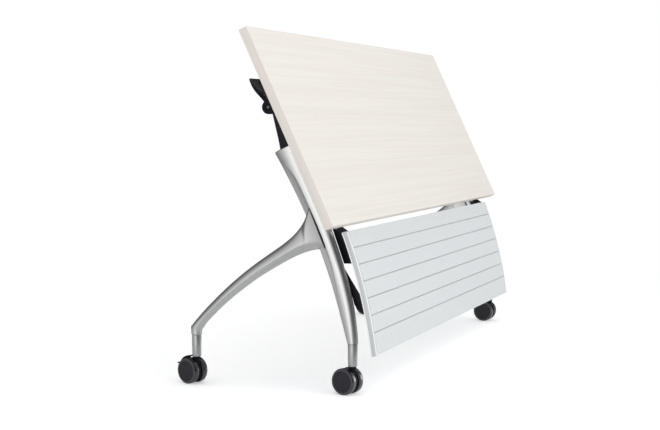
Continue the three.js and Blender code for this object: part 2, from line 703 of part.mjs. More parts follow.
function addLeg(side, label) {
  const x = side * legX;
  const slotHalf = BRACKET_WEB / 2 + RUNNING_GAP;
  const slot = block(
    [x - slotHalf, x + slotHalf],
    [-HEAD_RISE - SWEEP_GAP, hubRadius + SWEEP_GAP],
    [-TOP_DEPTH, TOP_DEPTH],
  );
  const pinEnd = legX + COLUMN_WIDTH / 2 - PIVOT_PIN_WALL;
  const stayPinEnd = columnInner + STAY_PIN_DEPTH;
  const column = cut(
    loft(columnRings(0), x),
    atPivot(slot),
    atPivot(barX(pivotSeat, side * earInner, side * (pinEnd + SEAT_GAP), [0, 0])),
    atPivot(barX(stayPinSeat, side * earInner, side * (stayPinEnd + SEAT_GAP), stayAnchor)),
    spigotHole(x, footY),
  );
  addPiece(table, `leg_column_${label}`, column, MATERIALS.castAluminium);
  const arm = cut(loft(armRings(), x), loft(columnRings(SEAT_GAP), x), spigotHole(x, -footY));
  addPiece(table, `leg_arm_${label}`, arm, MATERIALS.castAluminium);

  const discOuter = columnInner - SEAT_GAP;
  const discInner = discOuter - LATCH_DISC_THICKNESS;
  const notch = block(
    [side * earInner, side * legX],
    [toothBack - RUNNING_GAP, toothFront + RUNNING_GAP],
    [-2 * discRadius, LATCH_NOTCH_DEPTH - discRadius],
  );
  const disc = cut(
    barX(LATCH_DISC_DIAMETER, side * discInner, side * discOuter, [0, 0], WHEEL_SIDES),
    notch.rotateX(flip),
    barX(pivotSeat, side * earInner, side * legX, [0, 0]),
  );
  addPiece(table, `latch_disc_${label}`, atPivot(disc), MATERIALS.steel);
  const shoulder = discInner - SEAT_GAP;
  const pin = headedPin(
    side,
    PIVOT_PIN_DIAMETER,
    PIVOT_PIN_HEAD_DIAMETER,
    PIVOT_PIN_HEAD_LENGTH,
    shoulder,
    pinEnd,
    [0, 0],
  );
  addPiece(table, `flip_pivot_pin_${label}`, atPivot(pin), MATERIALS.steel);
}

function addCrossbeam() {
  const ring = new THREE.Shape();
  const middle = onColumn(BEAM_DROP);
  ring.absarc(middle.x, middle.y, BEAM_DIAMETER / 2, 0, FULL_TURN);
  const bore = new THREE.Path();
  bore.absarc(middle.x, middle.y, BEAM_DIAMETER / 2 - BEAM_WALL, 0, FULL_TURN, true);
  ring.holes.push(bore);
  const grown = columnRings(SEAT_GAP);
  const beam = cut(sideways(ring, -legX, legX), loft(grown, legX), loft(grown, -legX));
  addPiece(table, "crossbeam", beam, MATERIALS.castAluminium);
}

// Castors: stem sleeve, hood with kingpin, axle, twin wheels and, on the front pair, a brake pedal

function turned(profile, sides) {
  return new THREE.LatheGeometry(profile.map(([r, h]) => new THREE.Vector2(r, h)), sides);
}

function addStem(name, x, y) {
  const bore = KINGPIN_DIAMETER / 2 + RUNNING_GAP;
  const depth = stemBottom + KINGPIN_LENGTH + SEAT_GAP;
  const stem = turned(
    [
      [0, depth],
      [bore, depth],
      [bore, stemBottom],
      [STEM_BOTTOM_DIAMETER / 2, stemBottom],
      [STEM_TOP_DIAMETER / 2, stemTop],
      [SPIGOT_DIAMETER / 2, stemTop],
      [SPIGOT_DIAMETER / 2, stemTop + SPIGOT_LENGTH],
      [0, stemTop + SPIGOT_LENGTH],
    ],
    ROUND_SIDES,
  );
  addPiece(table, name, stem.rotateX(HALF_TURN / 2).translate(x, y, 0), MATERIALS.stemMetal);
}

const wheelRadius = WHEEL_DIAMETER / 2;
const axleAxis = [-CASTOR_TRAIL, wheelRadius];
const wheelInner = WEB_WIDTH / 2 + WEB_SIDE_GAP;
const axleHalf = wheelInner + WHEEL_WIDTH - AXLE_END_WALL;

// A point of the pedal, at a radius from the axle and an angle back from the top of the wheel.
function pedalPoint(radius, degrees) {
  const angle = degToRad(degrees);
  return [axleAxis[0] - radius * Math.sin(angle), axleAxis[1] + radius * Math.cos(angle)];
}

const pedalAxis = pedalPoint(PEDAL_PIN_RADIUS, PEDAL_PIN_ANGLE);

function addHood(castor, label, braked) {
  const half = WEB_WIDTH / 2;
  const bossBottom = WHEEL_DIAMETER + WEB_SIDE_GAP;
  const bossRadius = HOOD_BOSS_DIAMETER / 2;
  const body = join(
    barX(WEB_DIAMETER, -half, half, axleAxis, WHEEL_SIDES),
    block([-half, half], [-bossRadius, bossRadius], [wheelRadius, bossBottom + WEB_SIDE_GAP]),
    barZ(HOOD_BOSS_DIAMETER, bossBottom, hoodTop, [0, 0]),
    barZ(KINGPIN_DIAMETER, bossBottom, hoodTop + KINGPIN_LENGTH, [0, 0]),
  );
  const holes = [barX(AXLE_DIAMETER + 2 * SEAT_GAP, -WEB_WIDTH, WEB_WIDTH, axleAxis)];
  if (braked) {
    const slotHalf = PEDAL_LUG_WIDTH / 2 + RUNNING_GAP;
    const floor = pedalAxis[1] - PEDAL_LUG_DEPTH;
    holes.push(block([-slotHalf, slotHalf], [-WHEEL_DIAMETER, -bossRadius], [floor, 2 * WHEEL_DIAMETER]));
    holes.push(barX(PEDAL_PIN_DIAMETER + 2 * SEAT_GAP, -WEB_WIDTH, WEB_WIDTH, pedalAxis));
  }
  addPiece(castor, `castor_hood_${label}`, cut(body, ...holes), MATERIALS.blackPlastic);
}

function addWheels(castor, label) {
  const bore = AXLE_DIAMETER / 2 + RUNNING_GAP;
  const boreDepth = axleHalf - wheelInner + RUNNING_GAP;
  const shoulder = wheelRadius - WHEEL_EDGE_ROUND;
  const face = WHEEL_WIDTH - WHEEL_RECESS;
  const profile = [
    [0, boreDepth],
    [bore, boreDepth],
    [bore, 0],
    [shoulder, 0],
    [wheelRadius, WHEEL_EDGE_ROUND],
    [wheelRadius, WHEEL_WIDTH - WHEEL_EDGE_ROUND],
    [shoulder, WHEEL_WIDTH],
    [shoulder - WHEEL_RIM, WHEEL_WIDTH],
    [shoulder - WHEEL_RIM - WHEEL_RECESS, face],
    [0, face],
  ];
  for (const [side, hand] of [[1, "outer"], [-1, "inner"]]) {
    const wheel = turned(profile, WHEEL_SIDES).rotateZ((-side * HALF_TURN) / 2);
    wheel.translate(side * wheelInner, ...axleAxis);
    addPiece(castor, `castor_wheel_${hand}_${label}`, wheel, MATERIALS.tread);
  }
  const axle = barX(AXLE_DIAMETER, -axleHalf, axleHalf, axleAxis);
  addPiece(castor, `castor_axle_${label}`, axle, MATERIALS.steel);
}

function addBrakePedal(castor, label) {
  const inner = wheelRadius + PEDAL_CLEARANCE;
  const outer = inner + PEDAL_THICKNESS;
  const steps = Array.from({ length: CURVE_STEPS + 1 }, (_, i) => i / CURVE_STEPS);
  const angles = steps.map((part) => PEDAL_START + part * (PEDAL_END - PEDAL_START));
  const [tabY, tabZ] = pedalPoint(inner, PEDAL_END);
  const tab = [tabY - PEDAL_TAB_REACH * Math.SQRT1_2, tabZ - PEDAL_TAB_REACH * Math.SQRT1_2];
  const plate = outline([
    ...angles.map((angle) => pedalPoint(outer, angle)),
    [tab[0], tab[1] + PEDAL_THICKNESS],
    [tab[0], tab[1]],
    ...angles.reverse().map((angle) => pedalPoint(inner, angle)),
  ]);
  const lug = outline([
    pedalPoint(outer - PEDAL_THICKNESS / 2, PEDAL_PIN_ANGLE - PEDAL_LUG_SPREAD),
    pedalPoint(outer - PEDAL_THICKNESS / 2, PEDAL_PIN_ANGLE + PEDAL_LUG_SPREAD),
    pedalPoint(PEDAL_PIN_RADIUS - PEDAL_PIN_DIAMETER, PEDAL_PIN_ANGLE + PEDAL_LUG_SPREAD),
    pedalPoint(PEDAL_PIN_RADIUS - PEDAL_PIN_DIAMETER, PEDAL_PIN_ANGLE - PEDAL_LUG_SPREAD),
  ]);
  const pedal = cut(
    join(
      sideways(plate, -PEDAL_WIDTH / 2, PEDAL_WIDTH / 2),
      sideways(lug, -PEDAL_LUG_WIDTH / 2, PEDAL_LUG_WIDTH / 2),
    ),
    barX(PEDAL_PIN_DIAMETER + 2 * RUNNING_GAP, -WEB_WIDTH, WEB_WIDTH, pedalAxis),
  );
  addPiece(castor, `brake_pedal_${label}`, pedal, MATERIALS.blackPlastic);
  const half = WEB_WIDTH / 2;
  addPiece(castor, `brake_pin_${label}`, barX(PEDAL_PIN_DIAMETER, -half, half, pedalAxis), MATERIALS.steel);
}

function addCastor(label, x, y, braked) {
  addStem(`castor_stem_${label}`, x, y);
  const castor = new THREE.Group();
  castor.position.set(x, y, 0);
  castor.rotation.z = degToRad(SWIVEL[label]);
  table.add(castor);
  addHood(castor, label, braked);
  addWheels(castor, label);
  if (braked) {
    addBrakePedal(castor, label);
  }
}

addBoard();
addReleaseShaft();
addModestyPanel();
addCrossbeam();
for (const [side, label] of [[1, "right"], [-1, "left"]]) {
  addLeg(side, label);
  addHingeBracket(side, label);
  addReleaseLever(side, label);
  addLatchHook(side, label);
  addPanelHingeSeat(side, label);
  addPanelHingePin(side, label);
  addPanelArm(side, label);
  addPanelEndCap(side, label);
  addStay(side, label);
  addCastor(`rear_${label}`, side * legX, footY, false);
  addCastor(`front_${label}`, side * legX, -footY, true);
}

// The origin is on the floor, under the middle of the whole table
const extent = new THREE.Box3().setFromObject(table, true);
const middle = extent.getCenter(new THREE.Vector3());
table.position.set(-middle.x, -middle.y, -extent.min.z);
table.updateMatrixWorld(true);

export default table;
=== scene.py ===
"""Finished looks for a flip top training table, laid out as an add-on and run as a script."""

import json
import math

import bmesh
import bpy
from bpy.props import FloatProperty, FloatVectorProperty, IntProperty, PointerProperty
from mathutils import Matrix, Vector


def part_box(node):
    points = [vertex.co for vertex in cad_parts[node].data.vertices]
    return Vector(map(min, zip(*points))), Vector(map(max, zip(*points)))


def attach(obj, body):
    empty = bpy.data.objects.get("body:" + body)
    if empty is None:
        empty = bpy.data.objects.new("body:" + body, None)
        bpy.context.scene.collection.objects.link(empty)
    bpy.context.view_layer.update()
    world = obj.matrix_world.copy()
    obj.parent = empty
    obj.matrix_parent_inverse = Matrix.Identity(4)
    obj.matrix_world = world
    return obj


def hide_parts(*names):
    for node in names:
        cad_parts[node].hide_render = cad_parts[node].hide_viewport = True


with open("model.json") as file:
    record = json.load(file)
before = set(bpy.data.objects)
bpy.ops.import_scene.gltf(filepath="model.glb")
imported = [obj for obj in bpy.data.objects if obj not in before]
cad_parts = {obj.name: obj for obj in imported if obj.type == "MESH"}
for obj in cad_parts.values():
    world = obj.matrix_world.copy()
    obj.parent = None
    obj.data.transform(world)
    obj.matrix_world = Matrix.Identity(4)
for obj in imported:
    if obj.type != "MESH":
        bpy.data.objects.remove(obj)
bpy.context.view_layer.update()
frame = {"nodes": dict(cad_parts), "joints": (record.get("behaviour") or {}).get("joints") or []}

bl_info = {
    "name": "Flip Top Training Table",
    "version": (1, 0, 0),
    "blender": (4, 5, 0),
    "location": "View3D > Sidebar > Training Table",
    "description": "Dresses the packed flip top training table with its finished pieces",
    "category": "Object",
}

SIDES = (("right", 1), ("left", -1))
CORNERS = ("rear_right", "front_right", "rear_left", "front_left")
QUARTER = math.pi / 2
# Gap between pieces that lie against each other, in metres like every length here
GAP = 0.0003
JOINTS = {joint["name"]: joint for joint in frame["joints"]}


def joint_place(name):
    """A point on a joint's axis, in the part's frame."""
    return Vector(JOINTS[name]["pos_m"])


# Frames of the moving groups: the tipped worktop, the leaning panel and each castor
FLIP = math.radians(JOINTS["flip"]["range_deg"][1])
PIVOT = joint_place("flip")
TOP_PLACE = Matrix.Translation(PIVOT) @ Matrix.Rotation(-FLIP, 4, "X")
PANEL_LEAN = math.radians(14.33)
PANEL_PLACE = Matrix.Translation(joint_place("panel_swing")) @ Matrix.Rotation(PANEL_LEAN, 4, "X")
FOOT_MIDDLE = (joint_place("swivel_rear_right") + joint_place("swivel_front_right")) / 2
LEG_X = FOOT_MIDDLE.x
TURN_TO_X = Matrix.Rotation(QUARTER, 4, "Y")


def castor_place(corner):
    """The frame of one castor: x along its axle, the origin on the floor under its stem."""
    axle = Vector(JOINTS[f"roll_outer_{corner}"]["axis"])
    stem = joint_place(f"swivel_{corner}")
    turn = Matrix.Rotation(math.atan2(axle.y, axle.x), 4, "Z")
    return Matrix.Translation((stem.x, stem.y, 0)) @ turn


def local_box(node, place):
    """Lowest and highest corner of a CAD node, in the frame of a placing matrix."""
    back = place.inverted()
    corners = [back @ vertex.co for vertex in frame["nodes"][node].data.vertices]
    return Vector(map(min, *corners)), Vector(map(max, *corners))


def in_top(point):
    """A point of the part's frame as (y, z) in the frame of the tipped worktop."""
    local = TOP_PLACE.inverted() @ point
    return Vector((local.y, local.z))


SHAFT = in_top(joint_place("release_squeeze"))
HINGE = in_top(joint_place("panel_swing"))
STAY_TOP = in_top(joint_place("stay_right_swing"))
# Column, worktop, panel and stay make a parallelogram
STAY_END = STAY_TOP + HINGE


class TableSizes(bpy.types.PropertyGroup):
    """Sizes of the fine shapes."""

    band_round: FloatProperty(
        name="Band rounding", description="Rounding along the worktop's edge band",
        default=0.0012, unit="LENGTH")
    casting_seam: FloatProperty(
        name="Casting seam", description="Gap between the leg's arm and its column",
        default=0.002, unit="LENGTH")
    groove_width: FloatProperty(
        name="Groove width", description="Width of the grooves between the panel's strips",
        default=0.0034, unit="LENGTH")
    groove_depth: FloatProperty(
        name="Groove depth", description="Depth of the grooves between the panel's strips",
        default=0.0018, unit="LENGTH")
    strips: IntProperty(
        name="Strips", description="Strips that the panel's face is divided into", default=7)
    last_strip: FloatProperty(
        name="Last strip", description="Height of the lowest strip of the panel",
        default=0.064, unit="LENGTH")
    cap_ribs: IntProperty(
        name="Cap ribs", description="Fine ribs along each end cap of the panel", default=3)
    screw_head: FloatProperty(
        name="Screw head", description="Diameter of the screw heads under the worktop",
        default=0.009, unit="LENGTH")


class TableColours(bpy.types.PropertyGroup):
    """Colours of the finishes."""

    laminate: FloatVectorProperty(
        name="Laminate", description="Ground colour of the worktop", subtype="COLOR",
        size=4, default=(0.82, 0.785, 0.725, 1))
    grain: FloatVectorProperty(
        name="Grain", description="Colour of the streaks in the laminate", subtype="COLOR",
        size=4, default=(0.74, 0.68, 0.60, 1))
    edging: FloatVectorProperty(
        name="Edging", description="Colour of the edge band", subtype="COLOR",
        size=4, default=(0.79, 0.725, 0.665, 1))
    silver: FloatVectorProperty(
        name="Silver", description="Powder coat on the cast legs", subtype="COLOR",
        size=4, default=(0.515, 0.52, 0.512, 1))
    stem: FloatVectorProperty(
        name="Stem", description="Satin metal of the castor stems", subtype="COLOR",
        size=4, default=(0.42, 0.425, 0.425, 1))
    panel: FloatVectorProperty(
        name="Panel", description="Anodised metal of the modesty panel", subtype="COLOR",
        size=4, default=(0.765, 0.79, 0.79, 1))
    black: FloatVectorProperty(
        name="Black", description="Painted brackets and moulded black parts", subtype="COLOR",
        size=4, default=(0.0052, 0.0050, 0.0090, 1))
    tread: FloatVectorProperty(
        name="Tread", description="Polished treads of the castor wheels", subtype="COLOR",
        size=4, default=(0.010, 0.010, 0.012, 1))
    charcoal: FloatVectorProperty(
        name="Charcoal", description="Flat faces of the castor wheels", subtype="COLOR",
        size=4, default=(0.0195, 0.019, 0.0235, 1))


class StageSettings(bpy.types.PropertyGroup):
    """Place, direction and lens of the camera."""

    camera: FloatVectorProperty(
        name="Camera", description="Camera place, from the middle of the four feet",
        subtype="TRANSLATION", unit="LENGTH", default=(4.3819, 1.5329, 0.7598))
    yaw: FloatProperty(
        name="Yaw", description="Turn of the camera from the table's length to the sitter's side",
        subtype="ANGLE", default=math.radians(20.663))
    pitch: FloatProperty(
        name="Pitch", description="Downward tilt of the camera", subtype="ANGLE",
        default=math.radians(3.838))
    lens: FloatProperty(
        name="Lens", description="Focal length in millimetres", default=75.59)


# Mesh building

SOFTEN_FROM = math.radians(30)


def new_piece(name, vertices, faces):
    """A mesh object at the origin, with doubles merged and faces turned outwards."""
    mesh = bpy.data.meshes.new(name)
    mesh.from_pydata([tuple(point) for point in vertices], [], faces)
    work = bmesh.new()
    work.from_mesh(mesh)
    bmesh.ops.remove_doubles(work, verts=work.verts, dist=1e-6)
    bmesh.ops.dissolve_degenerate(work, edges=work.edges, dist=1e-7)
    bmesh.ops.recalc_face_normals(work, faces=work.faces)
    work.to_mesh(mesh)
    work.free()
    piece = bpy.data.objects.new(name, mesh)
    bpy.context.scene.collection.objects.link(piece)
    return piece


def skin(name, rings, loop=False):
    """A surface over rings of equal length, capped at both ends unless the rings make a loop."""
    count = len(rings[0])
    spans = len(rings) if loop else len(rings) - 1
    faces = []
    for i in range(spans):
        near, far = i * count, (i + 1) % len(rings) * count
        for k in range(count):
            n = (k + 1) % count
            faces.append((near + k, near + n, far + n, far + k))
    if not loop:
        last = (len(rings) - 1) * count
        faces.append(tuple(range(count)))
        faces.append(tuple(range(last, last + count)))
    return new_piece(name, [point for ring in rings for point in ring], faces)


def prism(name, outline, from_x, to_x, place):
    """An outline of (y, z) points, stretched along x and put in place."""
    rings = [[place @ Vector((x, y, z)) for y, z in outline] for x in (from_x, to_x)]
    return skin(name, rings)


def turned(name, profile, place, segments=48, loop=False):
    """A profile of (radius, height) points, open or a loop, turned about the z axis of its place."""
    rings = []
    for radius, height in profile:
        turns = [2 * math.pi * k / segments for k in range(segments)]
        rings.append(
            [place @ Vector((radius * math.cos(a), radius * math.sin(a), height)) for a in turns])
    return skin(name, rings, loop)


def bar(name, radius, low, high, centre, place, chamfer=0.0, segments=32):
    """A round bar along x, from low to high, with chamfered ends."""
    profile = [(0, low), (radius - chamfer, low), (radius, low + chamfer),
               (radius, high - chamfer), (radius - chamfer, high), (0, high)]
    at = Matrix.Translation((0, centre[0], centre[1]))
    return turned(name, profile, place @ at @ TURN_TO_X, segments)


def block(name, low, high, place):
    """A box between two corners."""
    outline = [(low[1], low[2]), (high[1], low[2]), (high[1], high[2]), (low[1], high[2])]
    return prism(name, outline, low[0], high[0], place)


def arc(centre, radius, start, end, steps=16):
    """Points of an arc in the side plane; angles run from +y towards +z, in half turns."""
    points = []
    for i in range(steps + 1):
        angle = math.pi * (start + (end - start) * i / steps)
        points.append((centre[0] + radius * math.cos(angle), centre[1] + radius * math.sin(angle)))
    return points


def on_curve(handles, t):
    """Point and direction at a share of a curve through its handles."""
    points = [Vector(handle) for handle in handles]
    while len(points) > 2:
        points = [a.lerp(b, t) for a, b in zip(points, points[1:])]
    return points[0].lerp(points[1], t), (points[1] - points[0]).normalized()


def ease(value, low, high):
    """Smooth rise from 0 at low to 1 at high."""
    share = min(1.0, max(0.0, (value - low) / (high - low)))
    return share * share * (3 - 2 * share)


def bake(piece):
    """Turns a piece and its modifiers into a plain mesh."""
    graph = bpy.context.evaluated_depsgraph_get()
    mesh = bpy.data.meshes.new_from_object(piece.evaluated_get(graph))
    piece.modifiers.clear()
    spent = piece.data
    piece.data = mesh
    bpy.data.meshes.remove(spent)
    return piece


def combine(piece, operation, *tools):
    """Cuts other pieces out of a piece, or joins them to it, and removes them."""
    for tool in tools:
        step = piece.modifiers.new("combine", "BOOLEAN")
        step.operation = operation
        step.solver = "EXACT"
        step.object = tool
    bake(piece)
    for tool in tools:
        bpy.data.objects.remove(tool)


def drill(piece, low, high, place, *bores):
    """Drills holes along x through a piece, each given as a radius and its centre."""
    combine(piece, "DIFFERENCE", *[
        bar("bore", radius, low, high, centre, place) for radius, centre in bores])


def soften(piece, width, segments=3):
    """Rounds the sharp edges of a piece."""
    step = piece.modifiers.new("soften", "BEVEL")
    step.width = width
    step.segments = segments
    step.limit_method = "ANGLE"
    step.angle_limit = SOFTEN_FROM
    return bake(piece)


def smooth_out(piece, levels=2):
    """Subdivides a coarse cage into a smooth form."""
    step = piece.modifiers.new("smooth", "SUBSURF")
    step.levels = levels
    step.render_levels = levels
    return bake(piece)


def dress(piece, finish, body, nodes=(), sharp=35):
    """Gives a piece its finish, smooth shading, body and the CAD nodes it stands for."""
    if not piece.data.materials:
        piece.data.materials.append(finish)
    piece.data.shade_smooth()
    piece.data.set_sharp_from_angle(angle=math.radians(sharp))
    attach(piece, body)
    if nodes:
        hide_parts(*nodes)


# Shader maths


class Wire:
    """An output socket of a shader's nodes that stands in Python arithmetic."""

    def __init__(self, tree, socket=None):
        self.tree = tree
        self.socket = socket

    def node(self, kind, settings=None, values=None, output=0):
        """Adds a node, sets it up, feeds its sockets and returns one of its outputs."""
        made = self.tree.nodes.new(kind)
        for key, value in (settings or {}).items():
            setattr(made, key, value)
        for key, value in (values or {}).items():
            self.feed(made.inputs[key], value)
        return Wire(self.tree, made.outputs[output])

    def feed(self, socket, value):
        """Links a wire to a socket, or sets the socket's own value."""
        if isinstance(value, Wire):
            self.tree.links.new(value.socket, socket)
        else:
            socket.default_value = value

    def maths(self, operation, first, second):
        """A Math node on two values."""
        return self.node("ShaderNodeMath", {"operation": operation}, {0: first, 1: second})

    def __add__(self, other):
        return self.maths("ADD", self, other)

    __radd__ = __add__

    def __sub__(self, other):
        return self.maths("SUBTRACT", self, other)

    def __rsub__(self, other):
        return self.maths("SUBTRACT", other, self)

    def __mul__(self, other):
        return self.maths("MULTIPLY", self, other)

    __rmul__ = __mul__

    def __pow__(self, other):
        return self.maths("POWER", self, other)

    def between(self, low, high):
        """This value spread over 0 to 1 between two limits."""
        return self.node("ShaderNodeMapRange", {"clamp": True}, {0: self, 1: low, 2: high})

    def blend(self, first, second):
        """A colour between two colours, with this value as the share of the second."""
        return self.node("ShaderNodeMix", {"data_type": "RGBA"}, {0: self, 6: first, 7: second}, 2)

    def place(self, rotation=(0, 0, 0), scale=(1, 1, 1)):
        """Object coordinates, turned and then stretched."""
        held = self.node("ShaderNodeTexCoord", output="Object")
        turned_to = self.node("ShaderNodeMapping", {}, {"Vector": held, "Rotation": rotation})
        return self.node("ShaderNodeMapping", {}, {"Vector": turned_to, "Scale": scale})

    def noise(self, vector, scale, detail=2.0, distortion=0.0):
        """Noise over coordinates, as one value."""
        values = {"Vector": vector, "Scale": scale, "Detail": detail, "Distortion": distortion}
        return self.node("ShaderNodeTexNoise", {}, values, "Fac")

    def bump(self, height, distance, strength):
        """A normal from a relief of a depth in metres."""
        values = {"Height": height, "Distance": distance, "Strength": strength}
        return self.node("ShaderNodeBump", {}, values, "Normal")


def once(build):
    """Makes a finish on its first use and hands out the same one after that."""

    def finish(colours):
        return bpy.data.materials.get(build.__name__) or build(colours, build.__name__)

    return finish


def new_finish(name):
    """An empty material: itself, and a wire to its nodes."""
    made = bpy.data.materials.new(name)
    made.use_nodes = True
    return made, Wire(made.node_tree)


def shade(made, wire, **values):
    """Feeds the sockets of a material's shader; underscores stand for spaces."""
    shader = made.node_tree.nodes["Principled BSDF"]
    for name, value in values.items():
        wire.feed(shader.inputs[name.replace("_", " ")], value)
    return made


def tinted(colour, share):
    """A colour made darker or lighter."""
    return [value * share for value in colour[:3]] + [1]


def grained(name, first, second, grain, cloud, gloss, relief, **others):
    """A finish of two colours in slow clouds, with a fine grain in its gloss and its relief."""
    made, wire = new_finish(name)
    fine = wire.noise(wire.place(scale=grain), 1.0)
    slow = wire.noise(wire.place(), *cloud)
    return shade(
        made, wire, Base_Color=slow.blend(first, second), Roughness=gloss[0] + fine * gloss[1],
        Normal=wire.bump(fine, *relief), **others)


@once
def pale_laminate(colours, name):
    """Pale wood-grain laminate: long faint streaks, finer lines and a slight satin relief."""
    made, wire = new_finish(name)
    along = wire.place((FLIP, 0, 0), (0.7, 55, 55))
    wander = wire.noise(wire.place((FLIP, 0, 0), (1.1, 3, 3)), 1.0, 3.0)
    broad = wire.noise(along, 1.0, 4.0, 0.6)
    lines = wire.noise(wire.place((FLIP, 0, 0), (1.6, 190, 190)), 1.0, 3.0, 0.25)
    pores = wire.noise(wire.place((FLIP, 0, 0), (14, 900, 900)), 1.0, 2.0)
    streak = broad.between(0.42, 0.72) * 0.45 + lines.between(0.42, 0.72) * 0.60
    share = streak * (0.35 + wander * 0.6) + pores.between(0.60, 0.80) * 0.10
    ground = share.blend(colours.laminate, colours.grain)
    return shade(
        made, wire, Base_Color=ground, Roughness=0.44 + lines * 0.12, Specular_IOR_Level=0.4,
        Normal=wire.bump(lines * 0.6 + pores * 0.4, 0.00012, 0.35))


@once
def edge_band(colours, name):
    """Plastic edging with a faint grain along the board's edges."""
    made, wire = new_finish(name)
    streaks = wire.noise(wire.place((FLIP, 0, 0), (5, 5, 420)), 1.0, 3.0, 0.2)
    patches = wire.noise(wire.place((FLIP, 0, 0), (9, 9, 30)), 1.0, 2.0)
    share = streaks.between(0.35, 0.7) * 0.5 + patches * 0.15
    ground = share.blend(colours.edging, tinted(colours.edging, 0.86))
    return shade(
        made, wire, Base_Color=ground, Roughness=0.42 + streaks * 0.1,
        Normal=wire.bump(streaks, 0.0001, 0.2))


@once
def silver_casting(colours, name):
    """Satin silver powder coat on die-cast aluminium: fine flake and a slight orange peel."""
    made, wire = new_finish(name)
    spread = wire.place()
    peel = wire.noise(spread, 420, 2.0)
    flake = wire.noise(spread, 2600, 1.0)
    cloud = wire.noise(spread, 14, 3.0)
    share = cloud * 0.35 + flake.between(0.55, 0.8) * 0.35
    dull = tinted(colours.silver, 0.88)
    return shade(
        made, wire, Base_Color=share.blend(colours.silver, dull), Metallic=0.95,
        Roughness=0.25 + cloud * 0.06 + flake * 0.04,
        Normal=wire.bump(peel * 0.7 + flake * 0.3, 0.00006, 0.25))


@once
def satin_stem(colours, name):
    """Turned satin metal with fine rings round the stem."""
    made, wire = new_finish(name)
    rings = wire.noise(wire.place(scale=(20, 20, 2400)), 1.0, 2.0)
    cloud = wire.noise(wire.place(), 45, 2.0)
    share = rings.between(0.35, 0.7) * 0.4 + cloud * 0.3
    dull = tinted(colours.stem, 0.8)
    return shade(
        made, wire, Base_Color=share.blend(colours.stem, dull), Metallic=0.8,
        Roughness=0.30 + rings * 0.12, Normal=wire.bump(rings, 0.00004, 0.3))


@once
def anodised_panel(colours, name):
    """Anodised aluminium sheet, brushed along its length."""
    made, wire = new_finish(name)
    brush = wire.noise(wire.place((-PANEL_LEAN, 0, 0), (7, 2200, 2200)), 1.0, 2.0)
    cloud = wire.noise(wire.place((-PANEL_LEAN, 0, 0), (1.5, 6, 6)), 1.0, 3.0)
    share = brush.between(0.3, 0.75) * 0.35 + cloud * 0.25
    dull = tinted(colours.panel, 0.86)
    return shade(
        made, wire, Base_Color=share.blend(colours.panel, dull), Metallic=0.18,
        Roughness=0.42 + brush * 0.14, Normal=wire.bump(brush, 0.00003, 0.25))


@once
def anodised_cap(colours, name):
    """Anodised extrusion of the end caps, drawn along its length; the panel's grooves take it too, as
    painted shade.
    """
    made, wire = new_finish(name)
    drawn = wire.noise(wire.place((-PANEL_LEAN, 0, 0), (1900, 1900, 9)), 1.0, 2.0)
    cloud = wire.noise(wire.place(), 12, 3.0)
    share = drawn.between(0.3, 0.75) * 0.4 + cloud * 0.25
    # Darker tones of the panel's colour: the caps' own tone, and painted shade where the grooves take this
    # finish
    shaded = tinted(colours.panel, 0.82)
    dull = tinted(colours.panel, 0.68)
    return shade(
        made, wire, Base_Color=share.blend(shaded, dull), Metallic=0.3,
        Roughness=0.34 + drawn * 0.14, Normal=wire.bump(drawn, 0.00003, 0.25))


@once
def painted_highlight_lip(colours, name):
    """White beads along the edges of the end caps: a painted highlight."""
    made, wire = new_finish(name)
    drawn = wire.noise(wire.place((-PANEL_LEAN, 0, 0), (1900, 1900, 9)), 1.0, 2.0)
    return shade(
        made, wire, Base_Color=drawn.blend((1, 1, 1, 1), (0.94, 0.95, 0.96, 1)),
        Roughness=0.22 + drawn * 0.1, Normal=wire.bump(drawn, 0.00002, 0.2))


@once
def black_paint(colours, name):
    """Black powder coat with a fine pebble."""
    return grained(
        name, colours.black, tinted(colours.black, 1.8), grain=(900, 900, 900), cloud=(40, 2.0),
        gloss=(0.42, 0.16), relief=(0.00008, 0.35), Specular_IOR_Level=0.2)


@once
def black_moulding(colours, name):
    """Moulded black plastic with a fine spark texture."""
    return grained(
        name, colours.black, tinted(colours.black, 1.4), grain=(1500, 1500, 1500), cloud=(60, 2.0),
        gloss=(0.32, 0.14), relief=(0.00005, 0.3), Specular_IOR_Level=0.09)


@once
def glossy_tread(colours, name):
    """Hard polished tread, dark but for what it mirrors."""
    made, wire = new_finish(name)
    scuff = wire.noise(wire.place(), 260, 4.0)
    cloud = wire.noise(wire.place(), 50, 2.0)
    lifted = tinted(colours.tread, 1.8)
    return shade(
        made, wire, Base_Color=(scuff.between(0.5, 0.8) * 0.6).blend(colours.tread, lifted),
        Roughness=0.10 + cloud * 0.05 + scuff * 0.04, Coat_Weight=0.7,
        Normal=wire.bump(scuff, 0.00001, 0.1))


@once
def wheel_rim(colours, name):
    """Raised rim between a wheel's tread and its flat face, coloured lighter than the face as a painted
    sheen.
    """
    # The rim is painted lighter than the face: a painted sheen on its bevel
    lifted = tinted(colours.charcoal, 2.6)
    return grained(
        name, lifted, tinted(lifted, 0.8), grain=(1100, 1100, 1100), cloud=(45, 2.0),
        gloss=(0.24, 0.12), relief=(0.00004, 0.25))


@once
def wheel_face(colours, name):
    """Flat charcoal face of a wheel, with a fine matt texture."""
    return grained(
        name, colours.charcoal, tinted(colours.charcoal, 1.35), grain=(1400, 1400, 1400),
        cloud=(70, 3.0), gloss=(0.52, 0.16), relief=(0.00006, 0.35), Specular_IOR_Level=0.22)


@once
def zinc_steel(colours, name):
    """Zinc plated steel with fine turning marks."""
    return grained(
        name, colours.stem, tinted(colours.stem, 0.75), grain=(1500, 60, 60), cloud=(90, 3.0),
        gloss=(0.26, 0.14), relief=(0.00003, 0.3), Metallic=1.0)


@once
def blackened_steel(colours, name):
    """Oiled black steel with fine drawing marks."""
    dark = tinted(colours.stem, 0.3)
    return grained(
        name, dark, tinted(dark, 0.8), grain=(60, 1500, 1500), cloud=(90, 3.0), gloss=(0.34, 0.14),
        relief=(0.00003, 0.3), Metallic=0.8)


# Geometry Nodes


